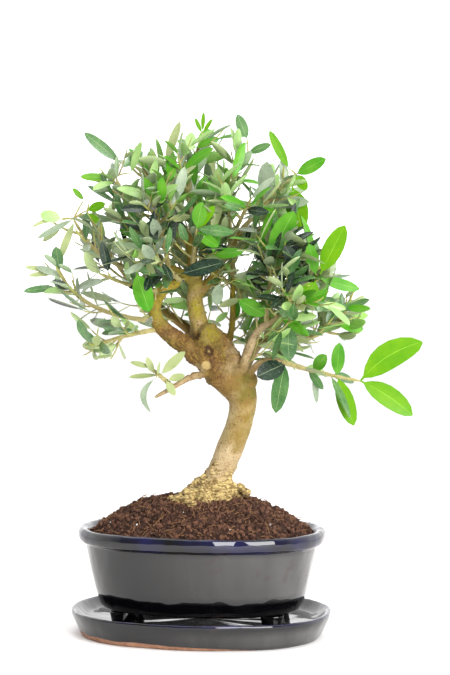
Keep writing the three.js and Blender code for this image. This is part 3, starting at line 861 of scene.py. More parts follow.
    @staticmethod
    def leaf_at(mass: Mass, path: Path, u: float, phase: float, dice: Dice, end: bool) -> Leaf:
        """A leaf's place and size at a joint, with its upper face turned to the twig's tip and the light.

        Args:
            mass: The mass that it grows in.
            path: The twig's centreline.
            u: The joint's place along it.
            phase: The angle round it.
            dice: The leaf's own random numbers.
            end: Whether it is one of the pair at the twig's end.

        Returns:
            The leaf.
        """
        turned = phase + LEAF_TWIST * (dice.roll() - 0.5)
        along, outward = joint_frame(path, u, turned)
        root = path.point(u) + outward * LEAF_OFFSET
        angle = END_LEAF_LEAN if end else dice.within(LEAF_LEAN)
        blade = along * math.cos(angle) + outward * math.sin(angle)
        face = along * math.sin(angle) - outward * math.cos(angle)
        stray = np.array([dice.roll() - 0.5 for _ in range(3)])
        if mass.habit.facing:
            face = face + stray * FACING_STRAY + np.array(mass.habit.facing)
        else:
            face = face + stray * LEAF_STRAY + UP * LEAF_UPTURN
        face = unit(face - blade * face.dot(blade))
        grown = mass.habit.end_leaf if end and mass.habit.end_leaf else mass.habit.leaf
        length = grown * dice.within(LEAF_SHARE)
        return Leaf(root, blade, face, length, length * dice.within(LEAF_WIDTH), dice.within(LEAF_DROOP))

    def add_leaf(
        self, mass: Mass, spray: Spray, u: float, phase: float, seed: int, end: bool = False
    ) -> None:
        """Tries a leaf a few times at a joint, smaller each time, and leaves it out where it never fits.

        Args:
            mass: The mass that it grows in.
            spray: The twig that carries it.
            u: The joint's place along the twig.
            phase: The angle round it.
            seed: The seed of its random numbers.
            end: Whether it is one of the pair at the twig's end.
        """
        dice = Dice(seed)
        for attempt in range(LEAF_TRIES):
            leaf = self.leaf_at(mass, spray.path, u, phase + attempt * PHASE_SWAY, dice, end)
            leaf.length *= LEAF_SHRINK**attempt
            leaf.width *= LEAF_SHRINK**attempt
            corners = leaf.corners()
            if not self.inside_space(mass.name, corners) or self.near_wood(corners, self.keep_off):
                continue
            if mass.book.crossed(corners):
                continue
            blade = self.blade_samples(corners)
            if self.in_gaps(blade) or not (mass.habit.single or self.in_outline(blade)):
                continue
            mass.book.add(corners)
            leaf.width *= LEAF_SLIM
            spray.leaves.append(leaf)
            return

    def add_pairs(self, mass: Mass, spray: Spray, bare: float, spacing: float, seed: int) -> None:
        """Leaves in pairs along a twig, each pair turned square to the last, and a pair at its end.

        Args:
            mass: The mass that they grow in.
            spray: The twig that carries them.
            bare: The share of the twig without leaves.
            spacing: The distance between pairs in millimetres.
            seed: The first of their seeds.
        """
        for i, u in enumerate(joint_places(spray.path, bare, spacing)):
            self.add_leaf(mass, spray, u, i * QUARTER_TURN, seed + PAIR_SEEDS * i)
            self.add_leaf(mass, spray, u, i * QUARTER_TURN + HALF_TURN, seed + PAIR_SEEDS * i + 1)
        self.add_end_pair(mass, spray, seed + 2)

    def add_end_pair(self, mass: Mass, spray: Spray, seed: int) -> None:
        """The pair at the end of a twig, one leaf above the other."""
        self.add_leaf(mass, spray, TWIG_END, QUARTER_TURN, seed, True)
        self.add_leaf(mass, spray, TWIG_END, -QUARTER_TURN, seed + 1, True)

    @staticmethod
    def side_twig(
        path: Path,
        u: float,
        phase: float,
        length: float,
        radii: Span,
        spread: float = TWIG_SPREAD,
        out: float = 0.0,
    ) -> Bend:
        """A side twig that bends up towards the light.

        Args:
            path: The centreline that it leaves.
            u: Its place along that.
            phase: The angle round it.
            length: The twig's length in millimetres.
            radii: Its radius at the root and the tip.
            spread: The angle between the two.
            out: How far from the centreline it starts.

        Returns:
            The twig's own centreline.
        """
        along, outward = joint_frame(path, u, phase)
        start = path.point(u) + outward * out
        heading = along * math.cos(spread) + outward * math.sin(spread)
        tip = start + heading * length + UP * length * TWIG_LIFT
        return Bend(start, start + heading * length / 2, tip, radii)

    def twig_fits(self, mass: Mass, twig: Bend) -> bool:
        """Whether a side twig keeps to its mass's space and off the limbs.

        Args:
            mass: The mass.
            twig: The twig's centreline.

        Returns:
            Whether it does.
        """
        points, wood = points_along(twig, TWIG_PROBES), self.keep_off
        apart = np.linalg.norm(points[:, None, :] - wood[:, :3], axis=-1)
        clear = bool((apart > wood[:, 3] + TWIG_ROOM + LIMB_MARGIN).all())
        return clear and self.inside_space(mass.name, points)

    def add_show_leaves(self, mass: Mass) -> None:
        """The leaves that stand out, each on a short stalk from the stem where its root is set apart.

        Args:
            mass: The mass that carries them.
        """
        for show in SHOW_LEAVES.get(mass.name, ()):
            carrier = mass.stem.path.point(show.at)
            root = carrier if show.root is None else np.array(show.root, float)
            spray = mass.stem
            if show.root is not None:
                middle = (carrier + root) / 2 + UP
                spray = Spray(Bend(carrier, middle, root, self.fine_radii))
                mass.twigs.append(spray)
            blade = np.array(show.tip, float) - root
            length = float(np.linalg.norm(blade))
            along = blade / length
            face = np.array(show.face)
            face = unit(face - along * face.dot(along))
            along = unit(along + face * show.droop)
            face = unit(face - along * face.dot(along))
            leaf = Leaf(root, along, face, length, length * show.share, show.droop, show.tone, show.bow)
            mass.book.add(leaf.corners())
            spray.leaves.append(leaf)

    def grow_mass(self, mass: Mass, seed: int) -> None:
        """Grows a mass: a side twig or a leaf on either side of each joint, and a pair at the stem's end.

        Args:
            mass: The mass.
            seed: The first of its seeds.
        """
        self.keep_off = self.obstacles(mass.name)
        path = mass.stem.path
        self.add_show_leaves(mass)
        shown = len(mass.stem.leaves)
        for i, u in enumerate(joint_places(path, STEM_BARE, mass.habit.joint)):
            dice = Dice(seed + JOINT_SEEDS * i)
            phase = i * QUARTER_TURN + PHASE_SWAY * dice.roll()
            for side, half in enumerate((0.0, HALF_TURN)):
                twig_seed = seed + JOINT_SEEDS * i + SIDE_SEEDS * side + 1
                length = dice.within(TWIG_LENGTH) * (1 - TWIG_SHORTER * u)
                twig = self.side_twig(path, u, phase + half, length, self.twig_radii)
                branches = dice.roll() < TWIG_CHANCE and u < TWIG_LAST and not mass.habit.single
                if branches and self.twig_fits(mass, twig):
                    mass.twigs.append(Spray(twig))
                    self.add_pairs(mass, mass.twigs[-1], TWIG_BARE, TWIG_JOINT, twig_seed)
                else:
                    self.add_leaf(mass, mass.stem, u, phase + half, twig_seed)
        if not shown:
            self.add_end_pair(mass, mass.stem, seed + MASS_SEEDS // 2)
        held = mass.book.corners[: mass.book.count].reshape(-1, 3)
        mass.reach = float(np.linalg.norm(held - mass.centre, axis=1).max())

    def fine_fits(self, mass: Mass | None, points: Array) -> bool:
        """Whether finer growth stays within its mass's reach, in the outline, and behind the fork.

        Args:
            mass: The mass, or none for growth straight from a limb.
            points: Points of the growth, one row each.

        Returns:
            Whether all of them do.
        """
        if mass and np.linalg.norm(points - mass.centre, axis=1).max() > mass.reach:
            return False
        fork = points[points[:, 1] < self.behind]
        if len(fork) and self.in_clearing(fork):
            return False
        return self.in_outline(points) and not self.in_gaps(points)

    def add_fine_leaf(
        self, mass: Mass, spray: Spray, u: float, phase: float, dice: Dice, end: bool
    ) -> None:
        """A leaf on a fine twig, left out where it leaves the mass's reach or crosses another.

        Args:
            mass: The mass that it grows in.
            spray: The twig that carries it.
            u: The joint's place along the twig.
            phase: The angle round it.
            dice: Random numbers.
            end: Whether it is one of the pair at the twig's end.
        """
        leaf = self.leaf_at(mass, spray.path, u, phase, dice, end)
        outward = unit((leaf.root - np.array(self.middle)) * self.flatten)
        leaf.along = unit(leaf.along * self.flatten + outward * self.fine_outward)
        leaf.face = unit(leaf.face - leaf.along * leaf.face.dot(leaf.along))
        corners = leaf.corners()
        held = mass if mass.name in self.masses else None
        if not self.fine_fits(held, self.blade_samples(corners)) or self.near_wood(corners, self.wood):
            return
        if self.all_leaves.crossed(corners):
            return
        self.all_leaves.add(corners)
        leaf.width *= LEAF_SLIM
        spray.leaves.append(leaf)

    def grow_fine(self, mass: Mass, seed: int) -> None:
        """Carries a mass to finer twigs, between the joints of its stem and twigs.

        Args:
            mass: The mass.
            seed: The seed of its random numbers.
        """
        dice = Dice(seed)
        for spray in mass.sprays():
            bare, spacing = (STEM_BARE, mass.habit.joint) if spray is mass.stem else (TWIG_BARE, TWIG_JOINT)
            bare, spacing = bare * self.fine_bare_share, spacing * self.fine_joint_share
            for i, u in enumerate(joint_places(spray.path, bare, spacing)):
                if dice.roll() > self.fine_chance or mass.habit.single:
                    continue
                phase = i * QUARTER_TURN + self.fine_phase + HALF_TURN * round(dice.roll())
                length = dice.within(self.fine_length)
                twig = self.side_twig(spray.path, u, phase, length, self.fine_radii, self.fine_spread)
                if not self.fine_fits(mass, points_along(twig, TWIG_PROBES)):
                    continue
                fine = Spray(twig)
                self.add_fine_pairs(mass, fine, dice)
                if fine.leaves:
                    mass.twigs.append(fine)

    def add_fine_pairs(self, mass: Mass, fine: Spray, dice: Dice) -> None:
        """Leaves in pairs along a fine twig, and a pair at its end.

        Args:
            mass: The mass that they grow in.
            fine: The twig that carries them.
            dice: Random numbers.
        """
        for k, place in enumerate(joint_places(fine.path, self.fine_bare, self.fine_joint)):
            for half in (0.0, HALF_TURN):
                self.add_fine_leaf(mass, fine, place, k * QUARTER_TURN + half, dice, False)
        for half in (QUARTER_TURN, -QUARTER_TURN):
            self.add_fine_leaf(mass, fine, TWIG_END, half, dice, True)

    def grow_limb_twigs(self) -> None:
        """Short leafy twigs straight from the limbs, towards the back wherever they would hide the fork."""
        habit = Habit("", 0.0, (0, 0, 0), (0, 0, 0), self.limb_leaf)
        dice = Dice(self.limb_seed)
        for name, (first, last) in LEAFY_LIMBS.items():
            limb = BOUGHS[name]
            count = math.ceil(path_length(limb) * (last - first) / self.limb_joint)
            for i in range(count):
                u = first + (last - first) * i / count
                for half in (0.0, HALF_TURN):
                    phase = i * QUARTER_TURN + half + dice.roll()
                    length = dice.within(self.limb_twig)
                    out = limb.radius(u) * self.limb_depth
                    twig = Spray(self.side_twig(limb, u, phase, length, self.fine_radii, out=out))
                    if not self.fine_fits(None, points_along(twig.path, LIMB_PROBES)):
                        continue
                    self.add_fine_pairs(Mass(name, habit, twig, twig.path.tip), twig, dice)
                    if twig.leaves:
                        self.limb_sprays.append(twig)

    def grow(self) -> None:
        """Grows every mass by the rule, then carries each one further."""
        for i, mass in enumerate(self.masses.values()):
            self.grow_mass(mass, SEED + i * MASS_SEEDS)
        for mass in self.masses.values():
            for spray in mass.sprays():
                for leaf in spray.leaves:
                    self.all_leaves.add(leaf.corners())
        for i, mass in enumerate(self.masses.values()):
            self.grow_fine(mass, self.fine_seed + i * MASS_SEEDS)
        self.grow_limb_twigs()
        self.deal_tones()

    def sprays(self) -> list[Spray]:
        """Every spray of the crown."""
        return [spray for mass in self.masses.values() for spray in mass.sprays()] + self.limb_sprays

    def deal_tones(self) -> None:
        """Deals the colours out by spray, with a leaf here and there of another of its zone's colours."""
        dice = Dice(self.fine_seed // 2)
        for spray in self.sprays():
            zone = self.zone_of(spray.path.point(1.0))
            tone = self.draw_tone(zone, dice)
            for leaf in spray.leaves:
                other = self.draw_tone(zone, dice)
                if leaf.tone is None:
                    leaf.tone = other if dice.roll() < self.odd_leaf else tone

    @staticmethod
    def zone_of(place: Array) -> ToneZone:
        """The nearest zone of colour, seen from the front."""
        return min(TONE_ZONES, key=lambda zone: math.hypot(place[0] - zone.across, place[2] - zone.high))

    @staticmethod
    def draw_tone(zone: ToneZone, dice: Dice) -> Tone:
        """A colour drawn by its share in a zone.

        Args:
            zone: The zone.
            dice: Random numbers.

        Returns:
            The colour.
        """
        chance = dice.roll()
        for tone, share in zone.shares.items():
            chance -= share
            if chance < 0:
                return tone
        return tone


class MeshStore:
    """Gathers the points and faces of many small shapes, in millimetres, for one joined mesh."""

    def __init__(self) -> None:
        """Starts empty."""
        self.points: list[Array] = []
        self.faces: Faces = []
        self.slots: list[int] = []
        self.values: list[Array] = []
        self.count = 0

    def add(
        self,
        points: Array,
        faces: Faces,
        slots: list[int] | None = None,
        values: Array | None = None,
    ) -> None:
        """Adds one shape.

        Args:
            points: Its vertices.
            faces: Its faces, by its own vertices.
            slots: The material slot of each face, or none for the first.
            values: A value for each vertex, or none for zero.
        """
        self.points.append(points)
        self.faces += [tuple(self.count + i for i in face) for face in faces]
        self.slots += slots or [0] * len(faces)
        self.values.append(np.zeros(len(points)) if values is None else values)
        self.count += len(points)

    def to_object(self, name: str, attribute: str = "") -> Piece:
        """The gathered shapes as one object.

        Args:
            name: The object's name.
            attribute: The name to keep the values under, or none to leave them out.

        Returns:
            The object, in the scene.
        """
        mesh = bpy.data.meshes.new(name)
        mesh.from_pydata((np.vstack(self.points) * MM).tolist(), [], self.faces)
        mesh.polygons.foreach_set("material_index", self.slots)
        mesh.update()
        piece = bpy.data.objects.new(name, mesh)
        if attribute:
            set_attribute(piece, attribute, np.concatenate(self.values))
        bpy.context.scene.collection.objects.link(piece)
        return piece


def activate(piece: Piece) -> None:
    """Selects one object alone and makes it the active one.

    Args:
        piece: The object.
    """
    bpy.ops.object.select_all(action="DESELECT")
    piece.select_set(True)
    bpy.context.view_layer.objects.active = piece


def smooth(piece: Piece, angle: float = math.radians(50)) -> None:
    """Shades a piece smooth, apart from edges sharper than an angle."""
    activate(piece)
    bpy.ops.object.shade_smooth_by_angle(angle=angle)


def apply_modifier(piece: Piece, kind: str, **settings: object) -> None:
    """Adds a modifier and applies it.

    Args:
        piece: The piece.
        kind: The kind of modifier.
        **settings: What to set on it.
    """
    modifier = piece.modifiers.new(kind.lower(), kind)
    for name, value in settings.items():
        setattr(modifier, name, value)
    activate(piece)
    bpy.ops.object.modifier_apply(modifier=modifier.name)


def mesh_points(piece: Piece, kind: str = "co") -> Array:
    """What a mesh's vertices hold.

    Args:
        piece: The piece.
        kind: "co" for their places in metres, or "normal".

    Returns:
        One row for each vertex.
    """
    values = np.zeros(len(piece.data.vertices) * 3, np.float32)
    piece.data.vertices.foreach_get(kind, values)
    return values.reshape(-1, 3).astype(float)


def set_points(piece: Piece, points: Array) -> None:
    """Writes a mesh's vertices back, in metres."""
    piece.data.vertices.foreach_set("co", points.astype(np.float32).ravel())
    piece.data.update()


def set_attribute(piece: Piece, name: str, values: Array) -> None:
    """Writes one value for each vertex as a named attribute."""
    layer = piece.data.attributes.new(name, "FLOAT", "POINT")
    layer.data.foreach_set("value", values.astype(np.float32))


def cloud(places: Array, scale: float, shift: float = 0.0, layers: int = 2) -> Array:
    """Soft noise from -1 to 1 at each place, by its scale, where it is read from and how fine it goes."""
    places = places * scale + shift
    return np.array([noise.fractal(Vector(p), CLOUD_FADE, CLOUD_STEP, layers) for p in places])


def tube(path: Path, sides: int, steps: int, radii: Array) -> tuple[Array, Faces]:
    """A closed tube along a path.

    Args:
        path: The centreline.
        sides: Faces round it.
        steps: Lengths along it.
        radii: The radius at each ring.

    Returns:
        Its vertices in millimetres and its faces.
    """
    rings = []
    normal = square_to(tangent(path, 0.0))
    angles = np.arange(sides) / sides * FULL_TURN
    for i in range(steps + 1):
        along = tangent(path, i / steps)
        normal = unit(normal - along * normal.dot(along))
        across = np.cross(along, normal)
        ring = np.outer(np.cos(angles), normal) + np.outer(np.sin(angles), across)
        rings.append(path.point(i / steps) + ring * radii[i])
    faces = []
    for i in range(steps):
        for k in range(sides):
            a, b = i * sides + k, i * sides + (k + 1) % sides
            faces.append((a, b, b + sides, a + sides))
    faces.append(tuple(range(sides - 1, -1, -1)))
    faces.append(tuple(range(steps * sides, (steps + 1) * sides)))
    return np.vstack(rings), faces


# Shader sockets of the colour mixing node, which names three kinds alike.
MIX_FACTOR = 0
MIX_FIRST = 6
MIX_SECOND = 7
MIX_RESULT = 2


class Wiring:
    """Short calls that add and join the nodes of one tree."""

    def __init__(self, tree: Tree) -> None:
        """Takes the tree to work in."""
        self.tree = tree

    def put(self, node: Node, inputs: dict) -> Node:
        """Sets a node's inputs to values, or joins them to other nodes' sockets.

        Args:
            node: The node.
            inputs: A value or a socket for each input, by its name or number.

        Returns:
            The same node.
        """
        for key, value in inputs.items():
            if isinstance(value, Socket):
                self.tree.links.new(value, node.inputs[key])
            else:
                node.inputs[key].default_value = value
        return node

    def add(self, kind: str, inputs: dict | None = None, **settings: object) -> Node:
        """A new node.

        Args:
            kind: Its type.
            inputs: Values or sockets for its inputs.
            settings: Values for its own settings.

        Returns:
            The node.
        """
        node = self.tree.nodes.new(kind)
        for name, value in settings.items():
            setattr(node, name, value)
        return self.put(node, inputs or {})

    def mix(self, factor: object, first: object, second: object) -> Socket:
        """Two colours mixed by a factor."""
        inputs = {MIX_FACTOR: factor, MIX_FIRST: first, MIX_SECOND: second}
        return self.add("ShaderNodeMix", inputs, data_type="RGBA").outputs[MIX_RESULT]

    def ramp(
        self, value: object, low: object = 0.0, high: object = 1.0, start: object = 0.0, end: object = 1.0
    ) -> Socket:
        """A value carried from one span, low to high, to another, start to end, and held at the ends."""
        inputs = {"Value": value, "From Min": low, "From Max": high, "To Min": start, "To Max": end}
        return self.add("ShaderNodeMapRange", inputs).outputs["Result"]

    def math(self, operation: str, first: object, second: object = 0.0) -> Socket:
        """Two values put together by one operation."""
        return self.add("ShaderNodeMath", {0: first, 1: second}, operation=operation).outputs[0]

    def times(self, first: object, second: object) -> Socket:
        """One value times another."""
        return self.math("MULTIPLY", first, second)

    def attribute(self, name: str) -> Socket:
        """A value that the mesh carries."""
        return self.add("ShaderNodeAttribute", attribute_name=name).outputs["Fac"]

    def place(self) -> Socket:
        """The object's own coordinates."""
        return self.add("ShaderNodeTexCoord").outputs["Object"]

    def axis(self, name: str) -> Socket:
        """One of the object's own coordinates."""
        return self.add("ShaderNodeSeparateXYZ", {0: self.place()}).outputs[name]

    def fade(self, axis: str, span: Span, start: float = 0.0, end: float = 1.0) -> Socket:
        """A value that goes from start to end between two places in millimetres along an axis."""
        return self.ramp(self.axis(axis), span[0] * MM, span[1] * MM, start, end)

    def group(self, tree: Tree, **inputs: object) -> Node:
        """A shared effect with its own values."""
        named = {key.capitalize(): value for key, value in inputs.items()}
        return self.add("ShaderNodeGroup", named, node_tree=tree)


# Kinds of socket, and the usual colours of a mottle.
NUMBER = "NodeSocketFloat"
COLOUR = "NodeSocketColor"
DARK_GREY = (0.2, 0.2, 0.2, 1.0)
LIGHT_GREY = (0.8, 0.8, 0.8, 1.0)


def shader_group(name: str, inputs: dict[str, object], outputs: dict[str, str]) -> tuple:
    """An empty shared effect with named sockets.

    Args:
        name: Its name.
        inputs: Each input's usual value, a number or a colour.
        outputs: Each output's socket kind.

    Returns:
        The tree, its wiring, its input node and its output node.
    """
    tree = bpy.data.node_groups.new(name, "ShaderNodeTree")
    for label, value in inputs.items():
        kind = NUMBER if isinstance(value, float) else COLOUR
        tree.interface.new_socket(label, in_out="INPUT", socket_type=kind).default_value = value
    for label, kind in outputs.items():
        tree.interface.new_socket(label, in_out="OUTPUT", socket_type=kind)
    wiring = Wiring(tree)
    return tree, wiring, wiring.add("NodeGroupInput"), wiring.add("NodeGroupOutput")


@dataclass
class Effects:
    """The effects that several finishes share."""

    speck_edge: float = 0.06
    fold_detail: float = 3.0
    fold_sway: float = 0.8
    fold_line: float = 0.5

    def __post_init__(self) -> None:
        """Builds each effect once."""
        self.mottle_tree = self.make_mottle()
        self.speck_tree = self.make_specks()
        self.fold_tree = self.make_folds()

    def make_mottle(self) -> Tree:
        """Cloudy patches of two colours, with the patches' own value for relief and gloss.

        Returns:
            The effect's tree.
        """
        numbers = {"Scale": 100.0, "Detail": 4.0, "Low": 0.35, "High": 0.65}
        inputs = {**numbers, "First": DARK_GREY, "Second": LIGHT_GREY}
        tree, wiring, start, end = shader_group("mottle", inputs, {"Color": COLOUR, "Value": NUMBER})
        given = start.outputs
        source = {"Vector": wiring.place(), "Scale": given["Scale"], "Detail": given["Detail"]}
        texture = wiring.add("ShaderNodeTexNoise", source).outputs["Fac"]
        value = wiring.ramp(texture, given["Low"], given["High"])
        wiring.put(end, {"Color": wiring.mix(value, given["First"], given["Second"]), "Value": value})
        return tree

    def make_specks(self) -> Tree:
        """Scattered small round specks, as a mask.

        Returns:
            The effect's tree.
        """
        tree, wiring, start, end = shader_group("specks", {"Scale": 400.0, "Size": 0.2}, {"Mask": NUMBER})
        source = {"Vector": wiring.place(), "Scale": start.outputs["Scale"]}
        cells = wiring.add("ShaderNodeTexVoronoi", source).outputs
        size = wiring.times(start.outputs["Size"], cells["Color"])
        within = wiring.math("SUBTRACT", size, cells["Distance"])
        wiring.put(end, {"Mask": wiring.ramp(within, high=self.speck_edge)})
        return tree

    def make_folds(self) -> Tree:
        """Folds with narrow creases between them, squeezed upright, as a value that is zero in a crease.

        Returns:
            The effect's tree.
        """
        inputs = {"Scale": 300.0, "Squeeze": 1.0, "Width": 0.1}
        tree, wiring, start, end = shader_group("folds", inputs, {"Value": NUMBER})
        stretch = wiring.add("ShaderNodeCombineXYZ", {"X": 1.0, "Y": 1.0, "Z": start.outputs["Squeeze"]})
        sides = {0: wiring.place(), 1: stretch.outputs["Vector"]}
        place = wiring.add("ShaderNodeVectorMath", sides, operation="MULTIPLY").outputs["Vector"]
        source = {"Vector": place, "Scale": start.outputs["Scale"]}
        source.update({"Detail": self.fold_detail, "Distortion": self.fold_sway})
        texture = wiring.add("ShaderNodeTexNoise", source).outputs["Fac"]
        off_line = wiring.math("ABSOLUTE", wiring.math("SUBTRACT", texture, self.fold_line))
        wiring.put(end, {"Value": wiring.ramp(off_line, high=start.outputs["Width"])})
        return tree

    def mottle(self, wiring: Wiring, **values: object) -> bpy.types.bpy_prop_collection:
        """The colour and value of a mottle in a material's tree."""
        return wiring.group(self.mottle_tree, **values).outputs

    def specks(self, wiring: Wiring, scale: float, size: float) -> Socket:
        """The mask of specks in a material's tree."""
        return wiring.group(self.speck_tree, scale=scale, size=size).outputs["Mask"]

    def folds(self, wiring: Wiring, scale: float, squeeze: float, width: float) -> Socket:
        """The value of folds in a material's tree."""
        return wiring.group(self.fold_tree, scale=scale, squeeze=squeeze, width=width).outputs["Value"]


class Surface:
    """A material with its wiring and its shader at hand."""

    def __init__(self, name: str) -> None:
        """Makes the material.

        Args:
            name: Its name.
        """
        self.material = bpy.data.materials.new(name)
        self.material.use_nodes = True
        self.wiring = Wiring(self.material.node_tree)
        self.shader = self.material.node_tree.nodes["Principled BSDF"]

    def set(self, **inputs: object) -> None:
        """Sets or joins the shader's inputs, named with underscores."""
        self.wiring.put(self.shader, {key.replace("_", " "): value for key, value in inputs.items()})

    def relief(self, height: Socket, strength: float, distance: float) -> None:
        """Bends the shader's normal by a height, at a distance in millimetres."""
        inputs = {"Height": height, "Strength": strength, "Distance": distance * MM}
        self.set(Normal=self.wiring.add("ShaderNodeBump", inputs).outputs["Normal"])


@dataclass(frozen=True)
class GlazeFinish:
    """Glossy black glaze with blue and brown breaks, over clay where the glaze stops, and a painted
    reflection: grey in upright streaks, growing to the right.
    """

    name: str
    blue_above: float
    # Where the painted reflection of the floor lies on the wall, in millimetres, how it fades, and how it
    # grows to the right.
    reflection_from: float
    reflection_to: float
    bare_below: float = 0.0
    blue_fade: float = 2.0
    reflection_fade: float = 5.0
    reflection_across: Span = (-40.0, 60.0)
    reflection_least: float = 0.45
    brown_share: float = 0.6
    bare_across: Span = (-30.0, 40.0)
    bare_sway: Span = (0.75, 1.25)
    bare_edge: float = 0.2
    gloss: Span = (0.06, 0.13)
    clay_gloss: float = 0.85
    refraction: float = 1.58
    black: Colour = srgb(5, 5, 7)
    blue: Colour = srgb(22, 22, 70)
    # The grey of the painted reflection.
    painted_reflection: Colour = srgb(86, 84, 83)
    brown: Colour = srgb(46, 30, 24)
    clay: Colour = srgb(128, 88, 64)
    pale_clay: Colour = srgb(156, 114, 88)

    def painted_reflection_band(self, wiring: Wiring, effects: Effects) -> Socket:
        """How much painted reflection shows: grey in upright streaks on the wall, more to the right.

        Args:
            wiring: The material's tree.
            effects: The shared effects.

        Returns:
            The mask.
        """
        lower = wiring.fade("Z", (self.reflection_from, self.reflection_from + self.reflection_fade))
        upper = wiring.fade("Z", (self.reflection_to - self.reflection_fade, self.reflection_to), 1.0, 0.0)
        streaks = wiring.ramp(effects.folds(wiring, scale=26.0, squeeze=0.1, width=0.3), start=self.reflection_least)
        band = wiring.times(wiring.times(lower, upper), streaks)
        return wiring.times(band, wiring.fade("X", self.reflection_across))

    def bare(self, wiring: Wiring, effects: Effects) -> Socket:
        """Where the glaze stops above the foot: in an uneven line that falls to the right.

        Args:
            wiring: The material's tree.
            effects: The shared effects.

        Returns:
            The mask.
        """
        edge = effects.mottle(wiring, scale=70.0, detail=4.0, low=0.2, high=0.8)["Value"]
        side = wiring.fade("X", self.bare_across, self.bare_below * MM, 0.0)
        line = wiring.times(wiring.ramp(edge, start=self.bare_sway[0], end=self.bare_sway[1]), side)
        under = wiring.math("SUBTRACT", line, wiring.axis("Z"))
        return wiring.ramp(under, -self.bare_edge * MM, self.bare_edge * MM)

    def material(self, effects: Effects) -> Material:
        """The glaze as a material.

        Args:
            effects: The shared effects.

        Returns:
            The material.
        """
        surface = Surface(self.name)
        wiring = surface.wiring
        # Painted reflection: grey mixed into the black glaze where the floor's sheen shows, stronger to the
        # right.
        colour = wiring.mix(self.painted_reflection_band(wiring, effects), self.black, self.painted_reflection)
        pool = effects.mottle(wiring, scale=44.0, detail=3.0, low=0.38, high=0.78)["Value"]
        rim = wiring.fade("Z", (self.blue_above, self.blue_above + self.blue_fade))
        colour = wiring.mix(wiring.times(rim, pool), colour, self.blue)
        thin = effects.mottle(wiring, scale=60.0, detail=6.0, low=0.62, high=0.74)["Value"]
        colour = wiring.mix(wiring.times(thin, self.brown_share), colour, self.brown)
        gloss = wiring.ramp(thin, start=self.gloss[0], end=self.gloss[1])
        if self.bare_below:
            bare = self.bare(wiring, effects)
            clay = effects.mottle(wiring, scale=300.0, detail=6.0, first=self.clay, second=self.pale_clay)
            colour = wiring.mix(bare, colour, clay["Color"])
            gloss = wiring.ramp(bare, start=gloss, end=self.clay_gloss)
        surface.set(Base_Color=colour, Roughness=gloss, IOR=self.refraction)
        pits = effects.specks(wiring, scale=420.0, size=0.16)
        surface.relief(wiring.math("SUBTRACT", thin, pits), strength=0.12, distance=0.15)
        return surface.material


@dataclass(frozen=True)
class CrumbFinish:
    """Dull broken stuff in two colours: peat, fibre or grit."""

    name: str
    dark: Colour
    light: Colour
    scale: float = 500.0
    finer: float = 5.0
    roughness: float = 0.95
    sheen: float = 0.2

    def material(self, effects: Effects) -> Material:
        """The crumbs as a material.

        Args:
            effects: The shared effects.

        Returns:
            The material.
        """
        surface = Surface(self.name)
        wiring = surface.wiring
        patch = effects.mottle(wiring, scale=self.scale, detail=5.0, first=self.dark, second=self.light)
        fine = effects.mottle(wiring, scale=self.scale * self.finer, detail=3.0)
        surface.set(Base_Color=patch["Color"], Roughness=self.roughness, Specular_IOR_Level=self.sheen)
        surface.relief(fine["Value"], strength=0.5, distance=0.2)
        return surface.material


